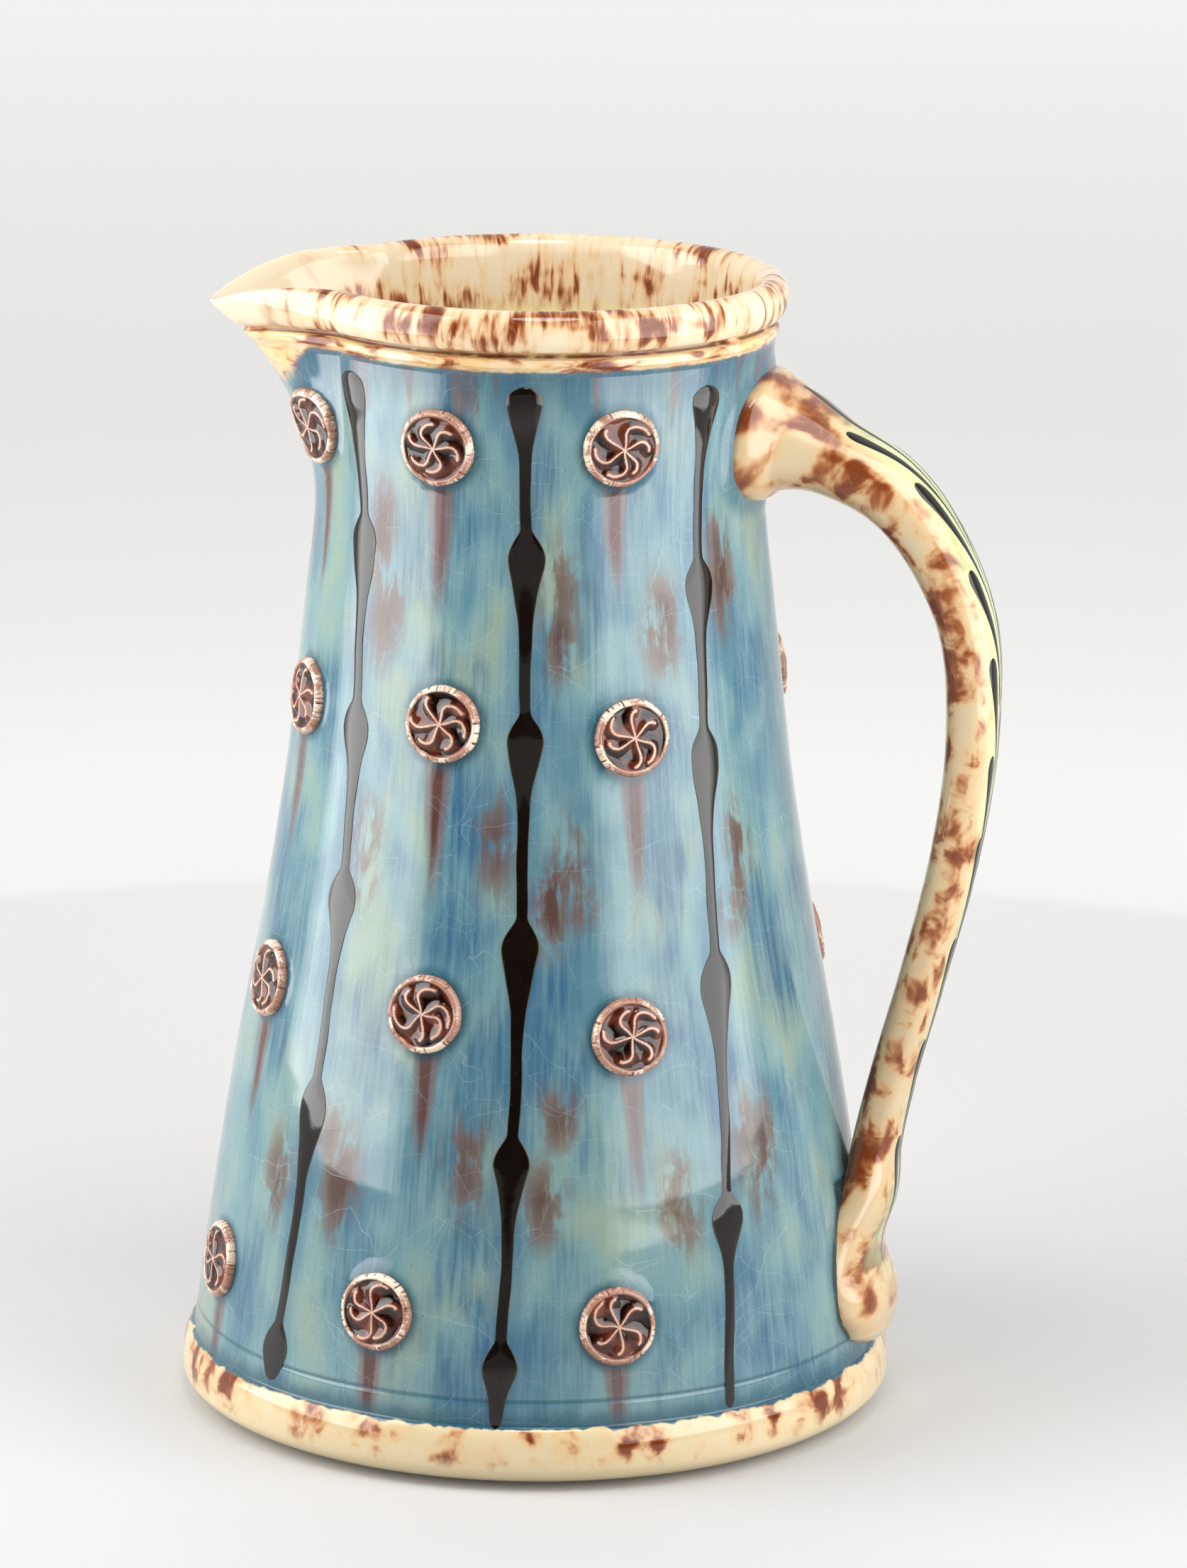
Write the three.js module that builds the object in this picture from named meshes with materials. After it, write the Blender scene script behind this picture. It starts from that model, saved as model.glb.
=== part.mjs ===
// Earthenware jug: a thrown body with a pulled spout, a strap handle, sprigged medallions and trailed slip.
// Millimetres, +Z up. The origin is the centre of the underside. The handle stands on +X, and every
// bearing is in degrees, anticlockwise from the handle as seen from above.
import * as THREE from 'three';

// Heights of the body
const crestHeight = 250;
const rollHalfHeight = 4.7;
const grooveHeight = 1.4;
const collarHeight = 2.2;
const collarShoulder = 0.8;
const footTopHeight = 14;
const footWidestHeight = 5.5;
const floorThickness = 9;

// Radii of the body's outside, from the foot up to the collar
const footRadius = 78.6;
const footRounding = 12.6;
const footStep = 2.6;
const skirtRadius = 71.5;
const bellyRadius = 66.3;
const middleRadius = 60.3;
const chestRadius = 55.2;
const shoulderRadius = 51.6;
const neckRadius = 48.5;
const collarSeatRadius = 50.6;
const collarStand = 0.8;
const grooveDepth = 1;

// Rim roll and wall thickness
const rimInset = 0.8;
const rollHalfWidth = 3.5;
const neckWall = 5;
const footWall = 7;
const floorFillet = 15;

// Spout: pulled out of the rim and the neck below it. The powers say how the pull gathers: towards the
// spout's centre line, and up the throat.
const spoutBearing = 187;
const spoutHalfAngle = 38;
const spoutReach = 21.5;
const spoutDrop = 7.3;
const spoutRootDepth = 55;
const spoutLipThinning = 0.45;
const spoutFocus = 1.5;
const reachGather = 2.1;
const dropFocus = 2.9;
const dropGather = 4;

// Clearance at every luted joint
const jointGap = 0.35;

// Handle: place up the wall (0 at the foot, 1 at the collar), distance of the strap's centre line from the
// wall, depth and width of the strap
const handleStations = [
  { up: 0.906, standOff: 2, deep: 28, wide: 37 },
  { up: 0.902, standOff: 7.5, deep: 22, wide: 30 },
  { up: 0.888, standOff: 16, deep: 16.4, wide: 24 },
  { up: 0.859, standOff: 28.2, deep: 14.8, wide: 20.5 },
  { up: 0.813, standOff: 36.7, deep: 13.6, wide: 18.5 },
  { up: 0.729, standOff: 43, deep: 12.3, wide: 17.5 },
  { up: 0.617, standOff: 41.8, deep: 11, wide: 16.5 },
  { up: 0.505, standOff: 35.2, deep: 10.4, wide: 16 },
  { up: 0.389, standOff: 24.6, deep: 10, wide: 15.5 },
  { up: 0.277, standOff: 13.2, deep: 10, wide: 15.5 },
  { up: 0.206, standOff: 7.2, deep: 10.4, wide: 18 },
];
// Terminal of the handle: its spread on the wall, with the thumb's press above a last bulge
const terminalStations = [
  { up: 0.161, standOff: 4.6, deep: 11.4, wide: 26 },
  { up: 0.121, standOff: 0.4, deep: 12, wide: 35 },
  { up: 0.09, standOff: -1.2, deep: 12.2, wide: 40 },
  { up: 0.05, standOff: 0.3, deep: 12.4, wide: 40 },
  { up: 0.025, standOff: -0.6, deep: 12, wide: 33 },
];
const strapSquareness = 2.6;
const rootBury = 3;
const rootFlare = 1.05;
const tipBury = 4;
const tipLength = 4.5;
const tipRounding = 1;
const tipWidth = 18.6;

// Medallions: seven columns of four sprigs, pressed on by eye. Each column has a bearing, and each of its
// sprigs may sway from that by some degrees and lift from its place by some millimetres.
const medallionRadius = 8.3;
const medallionThickness = 2.4;
const medallionPlaces = [0.921, 0.655, 0.378, 0.097];
const medallionColumns = [
  { bearing: 30, sway: [0, 0, 0, 0], lift: [0, 0, 0, 0] },
  { bearing: 75, sway: [0, 0, 0, 0], lift: [0, 0, 0, 0] },
  { bearing: 117, sway: [0, 0, 0, 0], lift: [0, 0, 0, 0] },
  { bearing: 158, sway: [0, 0, 0, 0], lift: [0, 0, 0, 0] },
  { bearing: 215, sway: [-3, -1.4, 0.1, -2.1], lift: [-0.3, -0.3, -0.2, -0.6] },
  { bearing: 259, sway: [-2.7, 0.9, 0.9, -4.2], lift: [0.1, 0.7, 1.3, 0.3] },
  { bearing: 302, sway: [0.6, 2.1, -1.4, -5.8], lift: [0.5, -1.9, -2.8, -0.6] },
];
const handleClearance = 5;

// Section of a sprig: a bevelled back, a notched rim, a sunken field with arms, and a boss in the middle.
// Each clay value is a thickness over the sprig's back.
const backBevel = 0.25;
const edgeClay = 1.1;
const rimWidth = 1.2;
const notchDepth = 0.35;
const fieldSlope = 1.8;
const fieldClay = 1.3;
const whorlRadius = 2.5;
const whorlClay = 1.9;
const bossClay = 2.2;
const armRelief = 0.75;
const whorlArms = 6;
const whorlTurn = 150;

// Trails of slip: bearings at the collar, halfway down and at the foot, places of the drop-shaped beads up
// the wall, and the trail's end above the top of the foot
const trailHalfWidth = 1.3;
const trailThickness = 0.9;
const trailCrown = 0.5;
const trailHead = 3.5;
const trailTipLength = 0.8;
const trailTipWidth = 0.6;
const beadHalfWidth = 4;
const beadThickness = 1.7;
const beadShoulder = 6;
const beadTail = 20;
const beadFullness = 1.2;
const beadTaper = 1.8;
const beadSteps = [-1, -0.55, 0, 0.3, 1];
const evenBeads = [0.968, 0.8, 0.634, 0.438, 0.232, 0.045];
const trails = [
  { top: 56, middle: 53, foot: 52, beads: evenBeads, end: 0 },
  { top: 96, middle: 96, foot: 96, beads: evenBeads, end: 0 },
  { top: 138, middle: 137, foot: 138, beads: evenBeads, end: 0 },
  { top: 183, middle: 184, foot: 183, beads: evenBeads, end: 0 },
  { top: 229, middle: 236.4, foot: 233.2, beads: [0.966, 0.818, 0.641, 0.48, 0.279, 0.038], end: 1.5 },
  { top: 278.4, middle: 279, foot: 276, beads: [0.968, 0.818, 0.645, 0.452, 0.249, 0.055], end: -1.5 },
  { top: 327, middle: 322, foot: 315.8, beads: [0.959, 0.781, 0.62, 0.408, 0.181], end: 0.5 },
];

// Fineness of the facets
const bodySides = 60;
const spoutCrowding = 0.5;
const footSteps = 3;
const footRollClimbs = [0, 0.5, 0.85];
const wallSteps = 9;
const throatSteps = 7;
const rollTurns = [-45, 0, 45, 90, 135, 180];
const innerSteps = 3;
const filletTurns = [45, 90];
const strapSides = 20;
const strapSteps = 26;
const rootSteps = 5;
const medallionSides = whorlArms * 4;
const normalStep = 0.05;
const edgeSpace = 0.5;

const finishes = {
  wall: { color: 0x6f9fae, roughness: 0.18, metalness: 0 },
  handle: { color: 0xe6d3a3, roughness: 0.2, metalness: 0 },
  sprig: { color: 0xa0695a, roughness: 0.25, metalness: 0 },
  slip: { color: 0x14100e, roughness: 0.12, metalness: 0 },
};

const { clamp, degToRad, euclideanModulo, lerp: mix, radToDeg } = THREE.MathUtils;

// Heights and radii that follow from the ones above
const rollHeight = crestHeight - rollHalfHeight;
const collarTopHeight = crestHeight - 2 * rollHalfHeight + grooveHeight / 2;
const collarSeatHeight = collarTopHeight - grooveHeight - collarHeight;
const throatHeight = crestHeight - spoutRootDepth;
const filletTopHeight = floorThickness + floorFillet;
const crestRadius = collarSeatRadius - rimInset;
const footTopRadius = footRadius - footStep;

// Height of a place up the wall, 0 at the top of the foot and 1 at the seat of the collar
const heightUp = (up) => mix(footTopHeight, collarSeatHeight, up);

// Outside of the wall between the foot and the collar: one smooth line through the thrown radii
const wallRadii = [
  footTopRadius,
  skirtRadius,
  bellyRadius,
  middleRadius,
  chestRadius,
  shoulderRadius,
  neckRadius,
  collarSeatRadius,
];
const wallLine = new THREE.SplineCurve(
  wallRadii.map((radius, k) => new THREE.Vector2(radius, heightUp(k / (wallRadii.length - 1)))),
);

// The foot's roll above its widest line, a quarter of an ellipse
function footRollRadius(height) {
  const climb = clamp((height - footWidestHeight) / (footTopHeight - footWidestHeight), 0, 1);
  return mix(footTopRadius, footRadius, Math.sqrt(1 - climb ** 2));
}

// Radius of the wall's smooth line at a height, found by halving
function lineRadius(height) {
  let low = 0;
  let high = 1;
  for (let pass = 0; pass < 30; pass += 1) {
    const middle = (low + high) / 2;
    if (wallLine.getPoint(middle).y < height) {
      low = middle;
    } else {
      high = middle;
    }
  }
  return wallLine.getPoint(low).x;
}

// Heights of the edges between the wall's rows of facets, closer together up the throat, and their radii
const wallRows = [];
for (let k = 0; k < wallSteps; k += 1) {
  wallRows.push(mix(footTopHeight, throatHeight, k / wallSteps));
}
for (let k = 0; k <= throatSteps; k += 1) {
  wallRows.push(mix(throatHeight, collarSeatHeight, k / throatSteps));
}
const rowRadii = wallRows.map(lineRadius);

// The row of facets that a height falls in, and its share of the way up that row
function facetAt(height) {
  const above = wallRows.findIndex((top) => top > height);
  const row = (above < 1 ? wallRows.length - 1 : above) - 1;
  return { row, share: (height - wallRows[row]) / (wallRows[row + 1] - wallRows[row]) };
}

// Radius of the outside at a height, away from the spout
function wallRadius(height) {
  if (height < footTopHeight) {
    return footRollRadius(height);
  }
  const { row, share } = facetAt(height);
  return mix(rowRadii[row], rowRadii[row + 1], share);
}

// Share of the spout's pull at a bearing: 1 on its centre line, 0 outside it
function spoutShare(bearing) {
  const turn = euclideanModulo(bearing - spoutBearing + 180, 360) - 180;
  return Math.max(0, 1 - (turn / spoutHalfAngle) ** 2) ** spoutFocus;
}

// A point of the body's profile carried round to a bearing and pulled with the spout
function pulled(bearing, radius, height) {
  const share = spoutShare(bearing);
  const climb = clamp((height - throatHeight) / spoutRootDepth, 0, 1);
  const reach = spoutReach * share * climb ** reachGather;
  const drop = spoutDrop * share ** dropFocus * climb ** dropGather;
  const angle = degToRad(bearing);
  return new THREE.Vector3(
    (radius + reach) * Math.cos(angle),
    (radius + reach) * Math.sin(angle),
    height - drop,
  );
}

// A point of the wall's own facets at a bearing and height
function wallPoint(bearing, height) {
  if (height < footTopHeight) {
    return pulled(bearing, footRollRadius(height), height);
  }
  const { row, share } = facetAt(height);
  const below = pulled(bearing, rowRadii[row], wallRows[row]);
  return below.lerp(pulled(bearing, rowRadii[row + 1], wallRows[row + 1]), share);
}

// A point at a bearing and height, lifted off the wall along its normal
function onWall(bearing, height, lift) {
  const here = wallPoint(bearing, height);
  const beside = wallPoint(bearing + normalStep, height).sub(here);
  const above = wallPoint(bearing, height + normalStep).sub(here);
  return here.addScaledVector(beside.cross(above).normalize(), lift);
}

// The same with the point moved aside by a distance along the wall
function besideOnWall(bearing, height, aside, lift) {
  return onWall(bearing + radToDeg(aside / wallRadius(height)), height, lift);
}

// Closes a stack of rings into one skin. A ring of one point is a pole, and each ring runs anticlockwise
// as seen against the direction of the stack.
function skin(rings) {
  const positions = [];
  const starts = rings.map((ring) => {
    const start = positions.length / 3;
    ring.forEach((point) => positions.push(point.x, point.y, point.z));
    return start;
  });
  const faces = [];
  for (let row = 0; row + 1 < rings.length; row += 1) {
    const lower = rings[row].length;
    const upper = rings[row + 1].length;
    const count = Math.max(lower, upper);
    for (let k = 0; k < count; k += 1) {
      const next = (k + 1) % count;
      const a = starts[row] + (k % lower);
      const b = starts[row] + (next % lower);
      const c = starts[row + 1] + (next % upper);
      const d = starts[row + 1] + (k % upper);
      if (lower > 1) {
        faces.push(a, b, c);
      }
      if (upper > 1) {
        faces.push(a, c, d);
      }
    }
  }
  const geometry = new THREE.BufferGeometry();
  geometry.setAttribute('position', new THREE.Float32BufferAttribute(positions, 3));
  geometry.setIndex(faces);
  geometry.computeVertexNormals();
  return geometry;
}

const jug = new THREE.Group();

function addPiece(name, geometry, finish) {
  const piece = new THREE.Mesh(geometry, new THREE.MeshStandardMaterial(finish));
  piece.name = name;
  jug.add(piece);
}

// Outside of the body from the edge of the flat underside to the crest of the rim. Each entry is
// [radius, height, relief], and the relief fades out where the spout is pulled.
function outerProfile() {
  const profile = [];
  for (let k = 0; k < footSteps; k += 1) {
    const turn = (k / footSteps) * (Math.PI / 2);
    profile.push([
      footRadius - footRounding * (1 - Math.sin(turn)),
      footWidestHeight * (1 - Math.cos(turn)),
      0,
    ]);
  }
  for (const climb of footRollClimbs) {
    const height = mix(footWidestHeight, footTopHeight, climb);
    profile.push([footRollRadius(height), height, 0]);
  }
  wallRows.forEach((height, row) => profile.push([rowRadii[row], height, 0]));
  profile.push([collarSeatRadius, collarSeatHeight + collarShoulder, collarStand]);
  profile.push([collarSeatRadius, collarSeatHeight + collarHeight, collarStand]);
  profile.push([collarSeatRadius, collarTopHeight - grooveHeight / 2, -grooveDepth / 2]);
  for (const turn of rollTurns) {
    profile.push([
      crestRadius,
      rollHeight + rollHalfHeight * Math.sin(degToRad(turn)),
      rollHalfWidth * Math.cos(degToRad(turn)),
    ]);
  }
  return profile;
}

// Inside of the body from below the rim down to the edge of the flat floor
function innerProfile() {
  const heights = [];
  for (let k = 0; k < innerSteps; k += 1) {
    heights.push(mix(collarSeatHeight, throatHeight, k / innerSteps));
  }
  for (let k = 0; k <= innerSteps; k += 1) {
    heights.push(mix(throatHeight, filletTopHeight, k / innerSteps));
  }
  const profile = heights.map((height) => {
    const depth = (collarSeatHeight - height) / (collarSeatHeight - filletTopHeight);
    return [wallRadius(height) - mix(neckWall, footWall, depth), height, 0];
  });
  const filletRadius = wallRadius(filletTopHeight) - footWall - floorFillet;
  for (const turn of filletTurns) {
    profile.push([
      filletRadius + floorFillet * Math.cos(degToRad(turn)),
      filletTopHeight - floorFillet * Math.sin(degToRad(turn)),
      0,
    ]);
  }
  return profile;
}

// One ring of the body, with its points closer together round the spout
function bodyRing([radius, height, relief]) {
  const ring = [];
  for (let k = 0; k < bodySides; k += 1) {
    const turn = (k / bodySides) * 2 * Math.PI;
    const bearing = spoutBearing + radToDeg(turn - spoutCrowding * Math.sin(turn));
    const kept = 1 - spoutLipThinning * spoutShare(bearing);
    ring.push(pulled(bearing, radius + relief * kept, height));
  }
  return ring;
}

addPiece('jug_body', skin([
  [new THREE.Vector3(0, 0, 0)],
  ...outerProfile().map(bodyRing),
  ...innerProfile().map(bodyRing),
  [new THREE.Vector3(0, 0, floorThickness)],
]), finishes.wall);

// Handle: a strap swept along its centre line and bent round the jug's axis. Where a section would reach into
// the wall, its points are held off the wall by the joint's gap, so the root and the terminal seat on the
// body's own curve and hug it.
function strapRing(centre, along, deep, wide) {
  const outward = new THREE.Vector3(0, -1, 0).cross(along).normalize();
  const power = 2 / strapSquareness;
  const ring = [];
  for (let k = 0; k < strapSides; k += 1) {
    const turn = (k / strapSides) * 2 * Math.PI;
    const high = Math.sign(Math.cos(turn)) * Math.abs(Math.cos(turn)) ** power * (deep / 2);
    const side = Math.sign(Math.sin(turn)) * Math.abs(Math.sin(turn)) ** power * (wide / 2);
    const point = centre.clone().addScaledVector(outward, high);
    const radius = Math.max(point.x, wallRadius(point.z) + jointGap);
    const bearing = -side / radius;
    ring.push(new THREE.Vector3(radius * Math.cos(bearing), radius * Math.sin(bearing), point.z));
  }
  return ring;
}

// A point in the handle's own plane, at a height and a distance from the wall
function besideWall(height, standOff) {
  return new THREE.Vector3(wallRadius(height) + standOff, 0, height);
}

function handleRings() {
  const stations = [...handleStations, ...terminalStations];
  const centres = new THREE.CatmullRomCurve3(
    stations.map(({ up, standOff }) => besideWall(heightUp(up), standOff)),
    false,
    'centripetal',
  );
  const sizes = new THREE.SplineCurve(stations.map(({ deep, wide }) => new THREE.Vector2(deep, wide)));
  const root = handleStations[0];
  const rootHeight = heightUp(root.up);
  const outwards = new THREE.Vector3(1, 0, 0);
  const rings = [[besideWall(rootHeight, jointGap)]];
  for (let k = 1; k <= rootSteps; k += 1) {
    const grown = (k / rootSteps) * rootFlare;
    rings.push(strapRing(besideWall(rootHeight, -rootBury), outwards, root.deep * grown, root.wide * grown));
  }
  for (let k = 0; k <= strapSteps; k += 1) {
    const share = k / strapSteps;
    const size = sizes.getPoint(share);
    rings.push(strapRing(centres.getPoint(share), centres.getTangent(share), size.x, size.y));
  }
  const last = terminalStations[terminalStations.length - 1];
  const tipHeight = heightUp(last.up) - tipLength;
  rings.push(strapRing(
    besideWall(tipHeight + tipRounding, -tipBury),
    centres.getTangent(1),
    last.deep,
    tipWidth,
  ));
  rings.push([besideWall(tipHeight, jointGap)]);
  return rings;
}

addPiece('handle', skin(handleRings()), finishes.handle);

// Medallion: a moulded sprig, bent to the wall behind it. A ring lies at a reach from the middle, and its
// relief may change as it goes round.
function medallionRing(bearing, height, reach, clay, relief = () => 0) {
  const ring = [];
  for (let k = 0; k < medallionSides; k += 1) {
    const turn = (k / medallionSides) * 2 * Math.PI;
    const up = reach * Math.sin(turn);
    ring.push(besideOnWall(bearing, height + up, reach * Math.cos(turn), jointGap + clay + relief(turn, k)));
  }
  return ring;
}

function medallionRings(bearing, height) {
  const rimRadius = medallionRadius - rimWidth;
  const arm = (lag) => (turn) => armRelief * Math.cos(whorlArms * turn - degToRad(lag));
  const notch = (turn, k) => (k % 2 ? -notchDepth : 0);
  return [
    [onWall(bearing, height, jointGap)],
    medallionRing(bearing, height, medallionRadius - backBevel, 0),
    medallionRing(bearing, height, medallionRadius, edgeClay),
    medallionRing(bearing, height, rimRadius, medallionThickness, notch),
    medallionRing(bearing, height, rimRadius - fieldSlope, fieldClay, arm(whorlTurn)),
    medallionRing(bearing, height, whorlRadius, whorlClay, arm(0)),
    [onWall(bearing, height, jointGap + bossClay)],
  ];
}

// Nearest bearing at which a sprig still clears the handle's root
function clearBearing(height) {
  const root = handleStations[0];
  const rootReach = (root.deep * rootFlare) / 2 + medallionRadius;
  if (Math.abs(height - heightUp(root.up)) > rootReach) {
    return 0;
  }
  const aside = (root.wide * rootFlare) / 2 + handleClearance + medallionRadius;
  return radToDeg(aside / wallRadius(height));
}

medallionColumns.forEach(({ bearing, sway, lift }, column) => {
  medallionPlaces.forEach((up, row) => {
    const height = heightUp(up) + lift[row];
    addPiece(
      `medallion_c${column + 1}_r${row + 1}`,
      skin(medallionRings(Math.max(bearing + sway[row], clearBearing(height)), height)),
      finishes.sprig,
    );
  });
});

// Trails: a low ridge of slip down the wall, swelling at each bead into a drop with a round head and a long
// hollow taper
function beadShare(height, beads) {
  let share = 0;
  for (const bead of beads) {
    const above = Math.max(0, 1 - ((height - bead) / beadShoulder) ** 2) ** beadFullness;
    const below = Math.max(0, 1 - (bead - height) / beadTail) ** beadTaper;
    share = Math.max(share, height > bead ? above : below);
  }
  return share;
}

function trailRings({ top, middle, foot, beads, end }) {
  const beadHeights = beads.map(heightUp);
  const startHeight = beadHeights[0] + trailHead;
  const endHeight = footTopHeight + end;
  const bend = 2 * middle - (foot + top) / 2;
  const bearingAt = (height) => {
    const climb = (height - endHeight) / (startHeight - endHeight);
    return mix(mix(foot, bend, climb), mix(bend, top, climb), climb);
  };
  const section = (height, scale) => {
    const share = beadShare(height, beadHeights);
    const half = mix(trailHalfWidth, beadHalfWidth, share) * scale;
    const high = jointGap + mix(trailThickness, beadThickness, share) * scale;
    const across = (aside, lift) => besideOnWall(bearingAt(height), height, aside, lift);
    return [
      across(-half, jointGap),
      across(half, jointGap),
      across(half * trailCrown, high),
      across(-half * trailCrown, high),
    ];
  };
  const beadEdges = beadHeights.flatMap((bead) => beadSteps.map(
    (step) => bead - step * (step < 0 ? beadShoulder : beadTail),
  ));
  const wallEdges = wallRows.filter((row) => beadEdges.every((edge) => Math.abs(edge - row) > edgeSpace));
  const heights = [...beadEdges, ...wallEdges].sort((a, b) => b - a);
  const tipSpace = 2 * trailTipLength;
  return [
    [onWall(bearingAt(startHeight), startHeight, jointGap)],
    section(startHeight - trailTipLength, trailTipWidth),
    ...heights
      .filter((height) => height < startHeight - tipSpace && height > endHeight + tipSpace)
      .map((height) => section(height, 1)),
    section(endHeight + trailTipLength, trailTipWidth),
    [onWall(bearingAt(endHeight), endHeight, jointGap)],
  ];
}

trails.forEach((trail, k) => {
  addPiece(`trail_${k + 1}`, skin(trailRings(trail)), finishes.slip);
});

export default jug;
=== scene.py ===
"""Glazed earthenware jug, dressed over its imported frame.

Lengths are metres, +Z is up and the handle stands on +X. Bearings are degrees, anticlockwise from the
handle as seen from above. Lengths in the attributes that the glazes read are millimetres.
"""
import logging
import math
from dataclasses import dataclass, field
from enum import Enum
from typing import Callable, Sequence, Union

import bpy
import numpy as np
from mathutils import Matrix, Vector


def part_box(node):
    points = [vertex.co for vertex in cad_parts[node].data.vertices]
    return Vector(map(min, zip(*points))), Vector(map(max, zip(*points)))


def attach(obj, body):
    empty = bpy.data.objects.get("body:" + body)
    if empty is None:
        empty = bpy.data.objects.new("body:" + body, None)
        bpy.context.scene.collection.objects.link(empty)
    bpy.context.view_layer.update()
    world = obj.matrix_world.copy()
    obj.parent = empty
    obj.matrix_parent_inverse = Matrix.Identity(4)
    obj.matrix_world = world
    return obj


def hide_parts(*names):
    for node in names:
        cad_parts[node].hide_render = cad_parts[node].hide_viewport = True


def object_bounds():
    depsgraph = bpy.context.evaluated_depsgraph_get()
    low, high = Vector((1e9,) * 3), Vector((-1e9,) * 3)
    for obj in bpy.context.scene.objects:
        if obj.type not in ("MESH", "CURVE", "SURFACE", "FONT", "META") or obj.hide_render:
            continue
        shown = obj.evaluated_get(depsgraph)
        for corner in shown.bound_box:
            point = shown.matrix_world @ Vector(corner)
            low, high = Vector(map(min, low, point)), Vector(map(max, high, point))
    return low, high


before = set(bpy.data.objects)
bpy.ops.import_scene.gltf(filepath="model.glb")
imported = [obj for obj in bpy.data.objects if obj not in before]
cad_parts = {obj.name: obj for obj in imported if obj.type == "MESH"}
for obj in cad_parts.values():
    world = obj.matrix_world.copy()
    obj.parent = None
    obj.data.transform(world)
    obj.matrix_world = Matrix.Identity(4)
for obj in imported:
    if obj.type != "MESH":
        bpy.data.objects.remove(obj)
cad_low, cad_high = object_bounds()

log = logging.getLogger("jug")
logging.basicConfig(level=logging.INFO, format="%(name)s: %(message)s")

MM = 0.001
RNG_SEED = 11
BOX_MARGIN = 0.02 * MM
FAR_MM = 99.0
WHORL_TURNS = (0, 60)

Array = np.ndarray
Rng = np.random.Generator
Object = bpy.types.Object
Material = bpy.types.Material
Node = bpy.types.Node
Tree = bpy.types.NodeTree
Colour = tuple[float, float, float, float]
Pair = tuple[Colour, Colour]
Stops = tuple[tuple[float, Colour], ...]
Span = tuple[float, float]
Floats = tuple[float, ...]


class Slot(Enum):
    """The record's material slots."""

    BODY = "body_glaze"
    HANDLE = "handle_glaze"
    SPRIG = "sprig_glaze"
    SLIP = "slip_glaze"


def srgb(red: float, green: float, blue: float) -> Colour:
    """A colour given as 0 to 255 display values, as linear light with a full alpha."""
    shown = np.array([red, green, blue]) / 255
    linear = np.where(shown <= 0.04045, shown / 12.92, ((shown + 0.055) / 1.055) ** 2.4)
    return (float(linear[0]), float(linear[1]), float(linear[2]), 1.0)


def smooth_step(values: Array | float, low: float, high: float) -> Array:
    """0 below low, 1 above high, with a smooth climb 3t^2 - 2t^3 between them."""
    t = np.clip((values - low) / (high - low), 0, 1)
    return t * t * (3 - 2 * t)


def wrapped(degrees: Array) -> Array:
    """Degrees brought into the range from -180 to 180."""
    return (degrees + 180) % 360 - 180


def open_span(low: float, high: float, count: int) -> Array:
    """Even steps from low towards high, without high itself."""
    return np.linspace(low, high, count + 1)[:-1]


def run_lengths(points: Array) -> Array:
    """Length along a line of points, 0 at the first."""
    return np.concatenate([[0], np.cumsum(np.linalg.norm(np.diff(points, axis=0), axis=1))])


def wander(places: Array, waves: Sequence[float], rng: Rng) -> Array:
    """A smooth random line: the mean of sines with the given wavelengths and random phases.

    Args:
        places: Where the line is read.
        waves: Wavelengths, in the unit of places.
        rng: The seeded source of the phases.

    Returns:
        Values from about -1 to 1.
    """
    total = np.zeros_like(places, dtype=float)
    for wave in waves:
        total += np.sin(places * (2 * math.pi / wave) + rng.uniform(0, 2 * math.pi))
    return total / len(waves)


def per_turn(*counts: int) -> Floats:
    """Wavelengths, in radians, that go round so many times."""
    return tuple(2 * math.pi / count for count in counts)


def spans(count: int, shares: Array) -> tuple[Array, Array]:
    """For places given as shares of a line of count points: each one's span, and its share of it."""
    along = np.clip(shares, 0, 1) * (count - 1)
    span = np.minimum(along.astype(int), count - 2)
    return span, (along - span)[:, None]


def cubic(p1: Array, p2: Array, v1: Array, v2: Array, t: Array) -> Array:
    """The cubic from p1 to p2 that has the slopes v1 and v2 there, at the shares t."""
    return (2 * p1 - 2 * p2 + v1 + v2) * t**3 + (3 * p2 - 3 * p1 - 2 * v1 - v2) * t**2 + v1 * t + p1


def uniform_curve(points: Array, shares: Array) -> Array:
    """A Catmull-Rom curve with even parameter steps, its end points doubled.

    On the span from p1 to p2 it is the cubic whose slopes are half of p2 - p0 and half of p3 - p1.

    Args:
        points: Rows of control values.
        shares: Places along the whole curve, from 0 to 1.

    Returns:
        One row for each share.
    """
    span, t = spans(len(points), shares)
    p0, p1 = points[np.maximum(span - 1, 0)], points[span]
    p2, p3 = points[span + 1], points[np.minimum(span + 2, len(points) - 1)]
    return cubic(p1, p2, (p2 - p0) / 2, (p3 - p1) / 2, t)


def centripetal_curve(points: Array, shares: Array) -> Array:
    """A Catmull-Rom curve whose knots lie the square root of the chords apart.

    Args:
        points: Rows of control points.
        shares: Places along the whole curve, from 0 to 1, even in the points' numbers.

    Returns:
        One row for each share.
    """
    padded = np.vstack([2 * points[0] - points[1], points, 2 * points[-1] - points[-2]])
    span, t = spans(len(points), shares)
    p0, p1, p2, p3 = (padded[span + k] for k in range(4))
    d0, d1, d2 = (
        np.sqrt(np.linalg.norm(b - a, axis=1))[:, None] for a, b in ((p0, p1), (p1, p2), (p2, p3))
    )
    v1 = ((p1 - p0) / d0 - (p2 - p0) / (d0 + d1) + (p2 - p1) / d1) * d1
    v2 = ((p2 - p1) / d1 - (p3 - p1) / (d1 + d2) + (p3 - p2) / d2) * d1
    return cubic(p1, p2, v1, v2, t)


def placed(name: str, data: bpy.types.ID) -> Object:
    """A new object with some data, linked to the scene."""
    made = bpy.data.objects.new(name, data)
    bpy.context.scene.collection.objects.link(made)
    return made


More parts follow.
